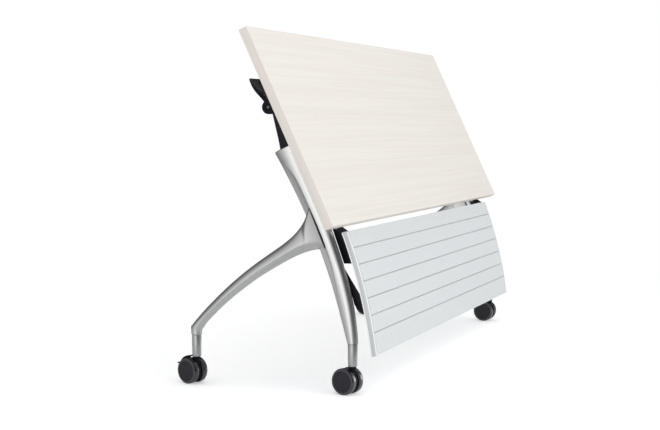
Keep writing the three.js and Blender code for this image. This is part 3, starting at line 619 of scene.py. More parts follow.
class Tree:
    """A Geometry Nodes tree with named inputs, built a node at a time."""

    def __init__(self, name, inputs):
        self.group = bpy.data.node_groups.new(name, "GeometryNodeTree")
        face = self.group.interface
        face.new_socket("Geometry", in_out="INPUT", socket_type="NodeSocketGeometry")
        for label, kind in inputs:
            face.new_socket(label, in_out="INPUT", socket_type=f"NodeSocket{kind}")
        face.new_socket("Geometry", in_out="OUTPUT", socket_type="NodeSocketGeometry")
        self.given = self.group.nodes.new("NodeGroupInput").outputs
        self.result = self.group.nodes.new("NodeGroupOutput").inputs[0]

    def node(self, kind, settings=None, values=None, output=0):
        """Adds a node, sets it up, links or sets its inputs and returns one of its outputs."""
        made = self.group.nodes.new(kind)
        for key, value in (settings or {}).items():
            setattr(made, key, value)
        for key, value in (values or {}).items():
            if isinstance(value, bpy.types.NodeSocket):
                self.group.links.new(value, made.inputs[key])
            else:
                made.inputs[key].default_value = value
        return made.outputs[output]

    def end(self, geometry):
        """Realizes the instances, sets the material and finishes the tree."""
        real = self.node("GeometryNodeRealizeInstances", {}, {0: geometry})
        painted = self.node(
            "GeometryNodeSetMaterial", {}, {"Geometry": real, "Material": self.given["Material"]})
        self.group.links.new(painted, self.result)


def screw_tree():
    """A socket-head screw on every point: a low round head with a six-sided recess."""
    tree = Tree("screw_tree", [
        ("Head Diameter", "Float"), ("Head Height", "Float"), ("Recess", "Float"),
        ("Turn", "Vector"), ("Material", "Material")])
    radius = tree.node(
        "ShaderNodeMath", {"operation": "DIVIDE"}, {0: tree.given["Head Diameter"], 1: 2.0})
    recess = tree.node("ShaderNodeMath", {"operation": "DIVIDE"}, {0: tree.given["Recess"], 1: 2.0})
    head = tree.node("GeometryNodeMeshCylinder", {}, {
        "Vertices": 24, "Radius": radius, "Depth": tree.given["Head Height"]})
    socket = tree.node("GeometryNodeMeshCylinder", {}, {
        "Vertices": 6, "Radius": recess, "Depth": tree.given["Head Height"]})
    up = tree.node("ShaderNodeCombineXYZ", {}, {"Z": tree.given["Head Height"]})
    half_up = tree.node("ShaderNodeVectorMath", {"operation": "SCALE"}, {0: up, "Scale": 0.5})
    raised = tree.node("GeometryNodeTransform", {}, {"Geometry": socket, "Translation": half_up})
    cut = tree.node("GeometryNodeMeshBoolean", {"operation": "DIFFERENCE"}, {0: head, 1: raised})
    points = tree.node("GeometryNodeMeshToPoints", {}, {0: tree.given["Geometry"]})
    turn = tree.node("FunctionNodeEulerToRotation", {}, {0: tree.given["Turn"]})
    heads = tree.node("GeometryNodeInstanceOnPoints", {}, {
        "Points": points, "Instance": cut, "Rotation": turn})
    tree.end(heads)
    return tree.group


def rib_tree():
    """Copies of a line, side by side, each drawn as a round rib."""
    tree = Tree("rib_tree", [
        ("Count", "Int"), ("Step", "Vector"), ("Radius", "Float"), ("Material", "Material")])
    line = tree.node("GeometryNodeMeshToCurve", {}, {0: tree.given["Geometry"]})
    points = tree.node("GeometryNodeMeshLine", {"mode": "OFFSET"}, {
        "Count": tree.given["Count"], "Offset": tree.given["Step"]})
    copies = tree.node("GeometryNodeInstanceOnPoints", {}, {"Points": points, "Instance": line})
    lines = tree.node("GeometryNodeRealizeInstances", {}, {0: copies})
    ring = tree.node("GeometryNodeCurvePrimitiveCircle", {}, {
        "Resolution": 8, "Radius": tree.given["Radius"]})
    tubes = tree.node("GeometryNodeCurveToMesh", {}, {
        "Curve": lines, "Profile Curve": ring, "Fill Caps": True})
    tree.end(tubes)
    return tree.group


def grown(name, tree, points, edges, **values):
    """Points and edges put through a Geometry Nodes tree and kept as a plain mesh."""
    mesh = bpy.data.meshes.new(name)
    mesh.from_pydata([tuple(point) for point in points], edges, [])
    piece = bpy.data.objects.new(name, mesh)
    bpy.context.scene.collection.objects.link(piece)
    step = piece.modifiers.new("grow", "NODES")
    step.node_group = bpy.data.node_groups.get(tree.__name__) or tree()
    for item in step.node_group.interface.items_tree:
        key = item.name.replace(" ", "_")
        if item.in_out == "INPUT" and key in values:
            step[item.identifier] = values[key]
    return bake(piece)


# Worktop


def band_rings(low, high, thickness, rounding):
    """Section of the edge band, carried round the board with small round corners."""
    corner, corner_steps, round_steps = 0.003, 6, 4
    rings = []
    centres = [(high.x, high.y, 0), (low.x, high.y, 1), (low.x, low.y, 2), (high.x, low.y, 3)]
    for x, y, quarter in centres:
        inward = Vector((-1 if x > 0 else 1, -1 if y == high.y else 1, 0)) * corner
        centre = Vector((x, y, 0)) + inward
        for i in range(corner_steps + 1):
            turn = (quarter + i / corner_steps) * QUARTER
            out = Vector((math.cos(turn), math.sin(turn), 0))
            ring = [centre + out * (corner - thickness) + Vector((0, 0, low.z))]
            for height, start in ((low.z + rounding, -1), (high.z - rounding, 0)):
                for step in range(round_steps + 1):
                    angle = (start + step / round_steps) * QUARTER
                    reach = corner - rounding + rounding * math.cos(angle)
                    lift = height + rounding * math.sin(angle)
                    ring.append(centre + out * reach + Vector((0, 0, lift)))
            ring.append(centre + out * (corner - thickness) + Vector((0, 0, high.z)))
            rings.append([TOP_PLACE @ point for point in ring])
    return rings


class TABLE_OT_worktop(bpy.types.Operator):
    """Makes the laminate board and its edge band"""

    bl_idname = "training_table.worktop"
    bl_label = "Worktop"

    def execute(self, context):
        sizes, colours = context.scene.table_sizes, context.scene.table_colours
        low, high = local_box("worktop_edge_band", TOP_PLACE)
        core_low, core_high = local_box("worktop_board", TOP_PLACE)
        thickness = core_low.x - low.x - GAP
        skirt = Vector((GAP, GAP, 0)) * 0.9
        board = block("laminate_board", core_low - skirt, core_high + skirt, TOP_PLACE)
        dress(board, pale_laminate(colours), "top", ["worktop_board"])
        band = skin("edging", band_rings(low, high, thickness, sizes.band_round), loop=True)
        dress(band, edge_band(colours), "top", ["worktop_edge_band"])
        return {"FINISHED"}


# Legs

HEAD_RISE = 0.032
HEAD_FRONT = 0.038
HEAD_REAR = 0.0358
COLUMN_HALF_DEPTH = 0.025
COLUMN_REAR = 0.027
COLUMN_HALF_WIDTH = 0.018
COLUMN_STRAIGHT = 0.178
COLUMN_HANDLE = 0.200
COLUMN_SQUARE = 2.5
HEAD_SQUARE = 2.05
FOOT_RADIUS = 0.0155
CREASE_DEPTH = 0.0003
SCOOP_START = -0.0025
SCOOP_LENGTH = 0.028
SCOOP_FALL = 0.0105
SCOOP_BOW = 0.52
LEG_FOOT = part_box("leg_column_right")[0].z
COLUMN_LEAN = QUARTER - FLIP
COLUMN_DOWN = Vector((math.sin(COLUMN_LEAN), -math.cos(COLUMN_LEAN)))
PIVOT_POINT = Vector((PIVOT.y, PIVOT.z))
REAR_FOOT = Vector((joint_place("swivel_rear_right").y, LEG_FOOT))

# The arm's upper and lower outlines: curve handles, from the column to the elbow over the front castor
ARM_TOP = ((0.1127, 0.531), (0.0858, 0.3748), (-0.0971, 0.3987), (-0.1973, 0.2353), (-0.258, 0.167))
ARM_UNDER = ((0.1653, 0.4078), (0.0298, 0.398), (-0.0283, 0.303), (-0.1514, 0.2527), (-0.219, 0.166))
ARM_SEAM_HALF_WIDTH = 0.0228
ARM_RIDGE_HALF_WIDTH = 0.0193
ARM_HALF_WIDTH = 0.0165
ARM_RIDGE_START = 0.14
ARM_RIDGE_END = 0.122
ARM_CREASE = 0.61
ARM_CREASE_FALL = 0.38
ARM_CREASE_FADE = 0.085
ARM_TRIM_TOP = 0.13
ARM_TRIM_UNDER = 0.117
ARM_UNDERSIDE = 0.5


def scooped_oval(front, rear, half_width, square, crease, scoop):
    """An oval section as (depth, width) points, with its front corners scooped off from a crease on."""
    limit = min(1.0, max(0.0, -crease / front))
    crease_turn = math.acos(-(limit ** (square / 2)))
    crease_width = half_width * math.sin(crease_turn) ** (2 / square)
    rear_steps, front_steps = 26, 16
    turns = [crease_turn * i / rear_steps for i in range(rear_steps + 1)]
    turns += [
        crease_turn + (math.pi - crease_turn) * i / front_steps for i in range(1, front_steps + 1)]
    half = []
    for turn in turns:
        share = abs(math.cos(turn)) ** (2 / square)
        depth = share * rear if turn < QUARTER else -share * front
        width = half_width * max(0.0, math.sin(turn)) ** (2 / square)
        if turn > crease_turn:
            fall = (max(0.0, crease - depth) / max(1e-6, crease + front)) ** SCOOP_BOW
            width = min(width, crease_width - scoop * fall)
        half.append((depth, max(0.0, width)))
    return half + [(depth, -width) for depth, width in reversed(half[1:-1])]


def column_ring(x, middle, along, section):
    """A section set across the column's spine."""
    across = Vector((-along.y, along.x))
    ring = []
    for depth, width in section:
        point = middle + across * depth
        ring.append(Vector((x + width, point.x, point.y)))
    return ring


def column_rings(x, grow=0.0):
    """Sections down the column, from its head to its foot."""
    rings = []
    steps = 44
    straight, lip = COLUMN_STRAIGHT + HEAD_RISE, 0.0026
    # Distance from the head's top and how much the rounded lip takes off there
    stations = [(0.0, 0.0030), (0.0008, 0.0013), (lip, 0.0)]
    stations += [(lip + (straight - lip) * i / steps, 0.0) for i in range(1, steps + 1)]
    for distance, inset in stations:
        t = distance - HEAD_RISE
        flare = (1 - distance / straight) ** 2
        front = COLUMN_HALF_DEPTH + flare * (HEAD_FRONT - COLUMN_HALF_DEPTH) + grow - inset
        rear = COLUMN_REAR + flare * (HEAD_REAR - COLUMN_REAR) + grow - inset
        scoop = 1 - math.exp(-max(0.0, t - SCOOP_START) / SCOOP_LENGTH)
        crease = -front + (front - CREASE_DEPTH) * scoop
        square = HEAD_SQUARE + (COLUMN_SQUARE - HEAD_SQUARE) * ease(t, 0.0, 0.12)
        section = scooped_oval(
            front, rear, COLUMN_HALF_WIDTH + grow - inset, square, crease, SCOOP_FALL * scoop)
        rings.append(column_ring(x, PIVOT_POINT + COLUMN_DOWN * t, COLUMN_DOWN, section))
    bend = (
        PIVOT_POINT + COLUMN_DOWN * COLUMN_STRAIGHT,
        PIVOT_POINT + COLUMN_DOWN * (COLUMN_STRAIGHT + COLUMN_HANDLE),
        REAR_FOOT,
    )
    for i in range(1, steps + 1):
        part = i / steps
        middle, along = on_curve(bend, part)
        along = along.lerp(Vector((0, -1)), ease(part, 0.8, 1.0)).normalized()
        depth = COLUMN_HALF_DEPTH + part**4 * (FOOT_RADIUS - COLUMN_HALF_DEPTH) + grow
        rear = depth + (COLUMN_REAR - COLUMN_HALF_DEPTH) * (1 - ease(part, 0.0, 0.35))
        width = COLUMN_HALF_WIDTH + part * (FOOT_RADIUS - COLUMN_HALF_WIDTH) + grow
        crease = -CREASE_DEPTH - (depth - CREASE_DEPTH) * ease(part, 0.3, 1.0)
        square = COLUMN_SQUARE + part * (2 - COLUMN_SQUARE)
        scoop = SCOOP_FALL * (1 - 0.5 * ease(part, 0.05, 0.4) - 0.5 * ease(part, 0.5, 1.0))
        section = scooped_oval(depth, rear, width, square, crease, scoop)
        rings.append(column_ring(x, middle, along, section))
    return rings


def arm_section(ridge, crease, half_width, roundness):
    """Half of the arm's section, top to underside, as (share of depth, width) points."""
    ridge_steps, flank_steps, taper_steps = 14, 6, 10
    half = []
    for i in range(ridge_steps + 1):
        x = math.cos(QUARTER * i / ridge_steps)
        half.append((ridge * (1 - x), half_width * (1 - x**1.5) ** 0.6))
    for i in range(1, flank_steps + 1):
        half.append((ridge + (crease - ridge) * i / flank_steps, half_width))
    for i in range(1, taper_steps + 1):
        x = i / taper_steps
        half.append((crease + (1 - crease) * x, half_width * (1 - (1 - ARM_UNDERSIDE) * x**0.75)))
    for i in range(1, flank_steps + 1):
        half.append((1.0, half_width * ARM_UNDERSIDE * (1 - i / flank_steps)))
    last = len(half) - 1
    rounded = []
    for i, (depth, width) in enumerate(half):
        turn = math.pi * i / last
        circle = ((1 - math.cos(turn)) / 2, half_width * math.sin(turn))
        rounded.append((
            depth + (circle[0] - depth) * roundness, width + (circle[1] - width) * roundness))
    return rounded


def arm_ring(x, top, under, section):
    """A section of the arm between its upper and lower outlines."""
    ring = []
    mirrored = section + [(depth, -width) for depth, width in reversed(section[1:-1])]
    for depth, width in mirrored:
        point = top.lerp(under, depth)
        ring.append(Vector((x + width, FOOT_MIDDLE.y + point.x, point.y)))
    return ring


def arm_rings(x):
    """Sections along the arm, from its root on the column to its foot."""
    rings = []
    steps = 72
    for i in range(steps + 1):
        t = (i / steps) ** 1.3
        top, _ = on_curve(ARM_TOP, t)
        # A shift along the lower outline evens out the slant of the sections
        shift = 0.3 * t * (1 - t) * (1 - 3 * t)
        under, _ = on_curve(ARM_UNDER, t - shift)
        # The middle of the arm is slimmer than its ends
        trim_top = ARM_TRIM_TOP * ease(t, 0.3, 0.68) * (1 - ease(t, 0.72, 0.95))
        trim_under = ARM_TRIM_UNDER * ease(t, 0.27, 0.52) * (1 - 0.65 * ease(t, 0.6, 0.9))
        trim_under *= 1 - ease(t, 0.93, 1.0)
        top, under = top.lerp(under, trim_top), under.lerp(top, trim_under)
        near_root = min(1.0, t / ARM_RIDGE_END)
        crease = ARM_CREASE + ARM_CREASE_FALL * math.exp(-((t / ARM_CREASE_FADE) ** 1.25))
        ridge = ARM_RIDGE_START + (crease - ARM_RIDGE_START) * near_root**5
        flare = (ARM_SEAM_HALF_WIDTH - ARM_RIDGE_HALF_WIDTH) * (1 - near_root) ** 2
        slim = (ARM_RIDGE_HALF_WIDTH - ARM_HALF_WIDTH) * ease(t, ARM_RIDGE_END, 0.45)
        width = ARM_RIDGE_HALF_WIDTH + flare - slim
        roundness = 0.55 * ease(t, 0.8, 1.0)
        rings.append(arm_ring(x, top, under, arm_section(ridge, crease, width, roundness)))
    foot_y = joint_place("swivel_front_right").y - FOOT_MIDDLE.y
    # The foot: height over its sole, how round the section is and how much the sole's edge takes off
    for height, roundness, inset in (
            (0.013, 0.85, 0.0), (0.008, 1.0, 0.0), (0.0004, 1.0, 0.0), (0.0, 1.0, 0.0005)):
        reach = FOOT_RADIUS + 0.04 * height - inset
        top = Vector((foot_y - reach, LEG_FOOT + height))
        under = Vector((foot_y + reach, LEG_FOOT + height))
        rings.append(arm_ring(x, top, under, arm_section(ARM_CREASE, ARM_CREASE, reach, roundness)))
    return rings


class TABLE_OT_legs(bpy.types.Operator):
    """Makes the cast columns, their arms and the crossbeam"""

    bl_idname = "training_table.legs"
    bl_label = "Legs"

    def execute(self, context):
        sizes, colours = context.scene.table_sizes, context.scene.table_colours
        silver = silver_casting(colours)
        for label, side in SIDES:
            x = side * LEG_X
            column = skin(f"{label}_column", column_rings(x))
            slot_half, slot_end = BRACKET_WEB_HALF + GAP, HUB_RADIUS + 0.003
            slot = block(
                "slot", (x - slot_half, -0.05, -0.1), (x + slot_half, slot_end, 0.1), TOP_PLACE)
            combine(column, "DIFFERENCE", slot)
            dress(column, silver, "frame", [f"leg_column_{label}"], sharp=28)
            arm = soften(skin(f"{label}_arm", arm_rings(x)), 0.0016)
            combine(arm, "DIFFERENCE", skin("seam", column_rings(x, sizes.casting_seam)))
            dress(arm, silver, "frame", [f"leg_arm_{label}"], sharp=24)
        low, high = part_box("crossbeam")
        middle = (low + high) / 2
        radius, wall = (high.z - low.z) / 2, 0.0025
        profile = [(radius - wall, low.x), (radius, low.x), (radius, high.x), (radius - wall, high.x)]
        at = Matrix.Translation((0, middle.y, middle.z)) @ TURN_TO_X
        beam = turned("beam", profile, at, 64, loop=True)
        dress(beam, silver, "frame", ["crossbeam"])
        return {"FINISHED"}


# Hinge brackets, levers and latch

BRACKET_WEB_HALF = 0.006
FLANGE_TOP = local_box("worktop_board", TOP_PLACE)[0].z - GAP
FLANGE_BOTTOM = FLANGE_TOP - 0.004
FLANGE_HALF_WIDTH = 0.032
WEB_TOP = FLANGE_TOP - 0.001
HUB_RADIUS = 0.025
EYE_RADIUS = 0.012
PIVOT_BORE = 0.0063
SHAFT_BORE = 0.0053
SCREW_HEIGHT = 0.0028
SCREW_RECESS = 0.0046
SCREW_DROP = 0.0012


def add_screws(name, places, sizes, colours):
    """Screws on the flanges under the worktop, at (x, y) places of the tipped worktop's frame."""
    points = [TOP_PLACE @ Vector((x, y, FLANGE_BOTTOM - SCREW_DROP)) for x, y in places]
    steel = zinc_steel(colours)
    screws = grown(
        name, screw_tree, points, [], Head_Diameter=sizes.screw_head, Head_Height=SCREW_HEIGHT,
        Recess=SCREW_RECESS, Turn=(math.pi - FLIP, 0, 0), Material=steel)
    dress(screws, steel, "top")


class TABLE_OT_brackets(bpy.types.Operator):
    """Makes the hinge brackets and their screws under the worktop"""

    bl_idname = "training_table.brackets"
    bl_label = "Hinge Brackets"

    def execute(self, context):
        sizes, colours = context.scene.table_sizes, context.scene.table_colours
        nose = SHAFT.x - EYE_RADIUS
        web = [
            (nose, WEB_TOP),
            *arc(SHAFT, EYE_RADIUS, 1.0, 1.75),
            *arc((SHAFT.x + 0.026, 0.016), 0.010, 1.25, 1.5, 6),
            *arc((0, 0), HUB_RADIUS, 1.5, 2.0),
            (HUB_RADIUS, WEB_TOP),
        ]
        for label, side in SIDES:
            x = side * LEG_X
            plate = soften(prism(
                f"{label}_hinge_bracket", web, x - BRACKET_WEB_HALF, x + BRACKET_WEB_HALF,
                TOP_PLACE), 0.0009)
            flange = soften(block(
                "flange", (x - FLANGE_HALF_WIDTH, nose, FLANGE_BOTTOM),
                (x + FLANGE_HALF_WIDTH, HUB_RADIUS, FLANGE_TOP), TOP_PLACE), 0.0012)
            combine(plate, "UNION", flange)
            reach = 2 * BRACKET_WEB_HALF
            drill(plate, x - reach, x + reach, TOP_PLACE, (SHAFT_BORE, SHAFT), (PIVOT_BORE, (0, 0)))
            dress(plate, black_paint(colours), "top", [f"hinge_bracket_{label}"])
            places = [
                (x + aside, y) for aside in (-0.022, 0.022)
                for y in (nose + 0.022, -0.075, HUB_RADIUS - 0.018)]
            add_screws(f"{label}_bracket_screws", places, sizes, colours)
        return {"FINISHED"}


LEVER_BOSS_RADIUS = 0.0198
LEVER_BOSS_WIDTH = 0.022
BOSS_INNER = LEG_X + BRACKET_WEB_HALF + GAP
BOSS_RECESS = 0.0016
BLADE_OUTER = BOSS_INNER + LEVER_BOSS_WIDTH + 0.016
BLADE_HALF_WIDTH = 0.038
BLADE_ROOT, BLADE_TIP = 0.014, 0.007
BLADE_SCOOP = 0.0085
BLADE_UPTURN = 0.003
ROD_RADIUS = 0.005
LEVER_UNDER = ((-0.008, -0.004), (-0.040, -0.0165), (-0.078, -0.0205), (-0.0955, -0.0155))


def lever_rings(side):
    """Coarse sections of the lever's scooped blade, from its neck on the boss to its tip."""
    # Share of the way, then how far the inner and the outer edge have spread
    stations = ((0.00, 0.0, 0.0), (0.09, 0.05, 0.0), (0.18, 0.5, 0.03), (0.27, 0.85, 0.16),
                (0.34, 0.95, 0.38), (0.42, 0.99, 0.66), (0.54, 1.0, 0.94), (0.72, 1.0, 1.0),
                (0.90, 1.0, 1.0), (0.965, 0.98, 0.97), (1.0, 0.90, 0.88))
    neck = (BOSS_INNER + 0.0018, BOSS_INNER + LEVER_BOSS_WIDTH - 0.0018)
    rings = []
    for t, inner, outer in stations:
        point, along = on_curve(LEVER_UNDER, t)
        up = Vector((along.y, -along.x))
        near = neck[0] + (BLADE_OUTER - 2 * BLADE_HALF_WIDTH - neck[0]) * inner
        far = neck[1] + (BLADE_OUTER - neck[1]) * outer
        middle, half = (near + far) / 2, (far - near) / 2
        thick = BLADE_ROOT - (BLADE_ROOT - BLADE_TIP) * ease(t, 0.45, 1.0)
        scoop = BLADE_SCOOP * ease(t, 0.29, 0.44) * (1 - 0.75 * ease(t, 0.85, 1.0))
        ring = []
        for share in (-1.0, -0.9, -0.5, 0.0, 0.5, 0.9, 1.0):
            ring.append((middle + half * share, point + up * BLADE_UPTURN * abs(share) ** 4))
        for share in (1.0, 0.86, 0.6, 0.0, -0.6, -0.86, -1.0):
            ring.append((middle + half * share, point + up * (thick - scoop * (1 - share**4))))
        rings.append([TOP_PLACE @ Vector((side * x, SHAFT.x + p.x, SHAFT.y + p.y)) for x, p in ring])
    return rings


class TABLE_OT_release(bpy.types.Operator):
    """Makes the squeeze levers, the shaft between them and the latch hooks"""

    bl_idname = "training_table.release"
    bl_label = "Release Levers"

    def execute(self, context):
        colours = context.scene.table_colours
        plastic, paint = black_moulding(colours), black_paint(colours)
        radius, width = LEVER_BOSS_RADIUS, LEVER_BOSS_WIDTH
        boss_profile = [
            (0, 0), (radius - 0.002, 0), (radius - 0.0006, 0.0006), (radius, 0.002),
            (radius, width - 0.0025), (radius - 0.0008, width - 0.0008), (radius - 0.0025, width),
            (0.0095, width), (0.0087, width - 0.0007), (0.0083, width - BOSS_RECESS),
            (0, width - BOSS_RECESS)]
        at_shaft = TOP_PLACE @ Matrix.Translation((0, SHAFT.x, SHAFT.y))
        for label, side in SIDES:
            lever = smooth_out(skin(f"{label}_lever", lever_rings(side)))
            turn = at_shaft @ Matrix.Translation((side * BOSS_INNER, 0, 0))
            turn = turn @ Matrix.Rotation(side * QUARTER, 4, "Y")
            combine(lever, "UNION", turned("boss", boss_profile, turn, 56))
            dress(lever, plastic, "release", [f"release_lever_{label}"])
            low, high = local_box(f"latch_hook_{label}", TOP_PLACE)
            tooth, blade = 0.009, 0.009
            outline = [
                *arc(SHAFT, EYE_RADIUS, 0.5, 1.5), (high.y, low.z), (high.y, high.z),
                (high.y - tooth, high.z), (high.y - tooth, low.z + blade)]
            hook = soften(prism(f"{label}_latch_hook", outline, low.x, high.x, TOP_PLACE), 0.0007)
            dress(hook, paint, "release", [f"latch_hook_{label}"])
        end = BOSS_INNER + LEVER_BOSS_WIDTH - BOSS_RECESS
        shaft = bar("release_rod", ROD_RADIUS, -end, end, SHAFT, TOP_PLACE, 0.0006)
        stub = 0.0035
        stubs = [
            block("stub", (x0, SHAFT.x - stub, SHAFT.y - stub), (x1, SHAFT.x + stub, SHAFT.y + stub),
                  TOP_PLACE)
            for x0, x1 in ((end - 0.004, end + 0.003), (-end - 0.003, 0.004 - end))]
        combine(shaft, "UNION", *[soften(piece, 0.0005) for piece in stubs])
        dress(shaft, blackened_steel(colours), "release", ["release_shaft"])
        return {"FINISHED"}


def headed_pin(name, node, place, head_length, rise, rivet):
    """A pin along x, its head nearer the table's middle, with or without a rivet at the other end."""
    low, high = local_box(node, place)
    middle, radius = (low + high) / 2, (high.z - low.z) / 2
    shank = radius - rise
    side = 1 if middle.x > 0 else -1
    start, end = (low.x, high.x) if side > 0 else (-high.x, -low.x)
    profile = [
        (0, start), (radius * 0.8, start), (radius, start + 0.2 * head_length),
        (radius, start + head_length), (shank, start + head_length), (shank, end - 0.0006),
        (shank - 0.0006, end), (0, end)]
    if rivet:
        profile[-3:] = [
            (shank, end + 0.0002), (radius, end + 0.0002), (radius, end + 0.0007),
            (radius * 0.7, end + 0.0015), (0, end + 0.0017)]
    at = place @ Matrix.Translation((0, middle.y, middle.z)) @ Matrix.Rotation(side * QUARTER, 4, "Y")
    return turned(name, profile, at)


class TABLE_OT_pins(bpy.types.Operator):
    """Makes the pivot pins, latch discs and linkage pins"""

    bl_idname = "training_table.pins"
    bl_label = "Pins and Discs"

    def execute(self, context):
        steel = zinc_steel(context.scene.table_colours)
        # Node, body, frame, length of the head, rise of the head over the shank, riveted end
        kinds = (
            ("flip_pivot_pin", "frame", TOP_PLACE, 0.005, 0.005, False),
            ("stay_upper_pin", "frame", TOP_PLACE, 0.00125, 0.002, False),
            ("panel_hinge_pin", "top", TOP_PLACE, 0.0025, 0.002, True),
            ("stay_lower_pin", "panel", PANEL_PLACE, 0.0025, 0.002, False),
        )
        for label, _ in SIDES:
            for node, body, place, *shape in kinds:
                pin = headed_pin(f"{label}_{node}", f"{node}_{label}", place, *shape)
                dress(pin, steel, body, [f"{node}_{label}"])
            low, high = local_box(f"latch_disc_{label}", TOP_PLACE)
            radius = (high.z - low.z) / 2
            disc = bar(f"{label}_disc", radius, low.x, high.x, (0, 0), TOP_PLACE, 0.0006, 64)
            upright = TOP_PLACE @ Matrix.Rotation(FLIP, 4, "X")
            notch_front, notch_rear, notch_floor = -0.0128, -0.0032, -0.013
            notch = block(
                "notch", (low.x - radius, notch_front, -radius - 0.01),
                (high.x + radius, notch_rear, notch_floor), upright)
            combine(disc, "DIFFERENCE", notch)
            dress(disc, steel, "frame", [f"latch_disc_{label}"])
        return {"FINISHED"}


# Modesty panel and its linkage

PANEL_LOW, PANEL_HIGH = local_box("panel_end_cap_right", PANEL_PLACE)
PANEL_SHEET = 0.003
PANEL_BULGE = 0.011
STRIP_STEPS = 8
CAP_STEPS = 40
CAP_DEPTH = 0.016
CAP_LINE_END = 0.002


def panel_face(z, inset=0.0):
    """How far out the panel's face lies at a height of its own frame, less an inset."""
    half = (PANEL_HIGH.z - PANEL_LOW.z) / 2
    radius = (half**2 + PANEL_BULGE**2) / (2 * PANEL_BULGE)
    middle = (PANEL_HIGH.z + PANEL_LOW.z) / 2
    return PANEL_HIGH.y - radius + math.sqrt(radius**2 - (z - middle) ** 2) - inset


def panel_curve(inset, start, end, steps):
    """Points along the panel's curve at an inset from its face."""
    heights = [start + (end - start) * i / steps for i in range(steps + 1)]
    return [(panel_face(z, inset), z) for z in heights]


def strip_edges(sizes):
    """Heights of the grooves between the panel's strips, from the top."""
    strip = (PANEL_HIGH.z - PANEL_LOW.z - sizes.last_strip) / (sizes.strips - 1)
    return [PANEL_HIGH.z - strip * (i + 1) for i in range(sizes.strips - 1)]


def panel_outline(sizes):
    """The panel's section: strips with a groove between them on both faces."""
    half, depth = sizes.groove_width / 2, sizes.groove_depth
    outer, inner = [], []
    top = PANEL_HIGH.z
    for groove in strip_edges(sizes):
        outer += panel_curve(0, top, groove + half, STRIP_STEPS)
        outer += [(panel_face(groove, depth), groove + half * 0.3)]
        outer += [(panel_face(groove, depth), groove - half * 0.3)]
        inner += panel_curve(PANEL_SHEET, top, groove + half * 0.7, STRIP_STEPS)
        inner += [(panel_face(groove, PANEL_SHEET - depth * 0.5), groove)]
        top = groove - half
    end = PANEL_LOW.z + 0.0006
    outer += panel_curve(0, top, end, STRIP_STEPS)
    inner += panel_curve(PANEL_SHEET, top, end, STRIP_STEPS)
    return outer + inner[::-1]


def cap_lines(name, x, inset, step, count, radius, finish):
    """Round lines side by side down an end cap, the first at an inset from the panel's face."""
    curve = panel_curve(inset, PANEL_HIGH.z - CAP_LINE_END, PANEL_LOW.z + CAP_LINE_END, CAP_STEPS)
    points = [PANEL_PLACE @ Vector((x, y, z)) for y, z in curve]
    lines = grown(
        name, rib_tree, points, [(i, i + 1) for i in range(CAP_STEPS)], Count=count,
        Step=PANEL_PLACE.to_3x3() @ Vector((0, -step, 0)), Radius=radius, Material=finish)
    dress(lines, finish, "panel")


class TABLE_OT_panel(bpy.types.Operator):
    """Makes the grooved modesty panel and its ribbed end caps"""

    bl_idname = "training_table.panel"
    bl_label = "Modesty Panel"

    def execute(self, context):
        sizes, colours = context.scene.table_sizes, context.scene.table_colours
        metal, cap_metal_and_groove_shade = anodised_panel(colours), anodised_cap(colours)
        low, high = local_box("modesty_panel", PANEL_PLACE)
        sheet = prism("panel_sheet", panel_outline(sizes), low.x, high.x, PANEL_PLACE)
        sheet.data.materials.append(metal)
        sheet.data.materials.append(cap_metal_and_groove_shade)
        # The grooves of the outer face take the darker finish of the end caps, as painted shade in the
        # grooves
        back = PANEL_PLACE.inverted()
        for polygon in sheet.data.polygons:
            spot = back @ polygon.center
            if 0.0005 < panel_face(spot.z) - spot.y < sizes.groove_depth + 0.0001:
                polygon.material_index = 1
        dress(sheet, metal, "panel", ["modesty_panel"], sharp=20)
        for label, side in SIDES:
            low, high = local_box(f"panel_end_cap_{label}", PANEL_PLACE)
            outline = panel_curve(0, high.z, low.z, CAP_STEPS)
            outline += panel_curve(CAP_DEPTH, low.z, high.z, CAP_STEPS)
            cap = soften(prism(f"{label}_end_cap", outline, low.x, high.x, PANEL_PLACE), 0.0009, 2)
            dress(cap, cap_metal_and_groove_shade, "panel", [f"panel_end_cap_{label}"])
            face, edge = high.x if side > 0 else low.x, 0.0004
            cap_lines(
                f"{label}_cap_ribs", face, inset=0.0042, step=0.0036, count=sizes.cap_ribs,
                radius=0.0007, finish=cap_metal_and_groove_shade)
            # White beads along both edges of each cap, coloured as a painted highlight
            cap_lines(
                f"{label}_cap_lips", face - side * 0.001, inset=edge, step=CAP_DEPTH - 2 * edge,
                count=2, radius=0.0019, finish=painted_highlight_lip(colours))
        return {"FINISHED"}


LINK_EYE = 0.011
LINK_HALF = 0.008
SEAT_LENGTH = 0.052
SEAT_EAR_WIDTH = 0.009
STAY_BORE = 0.0038
HINGE_BORE = 0.0043
BORE_REACH = 0.03


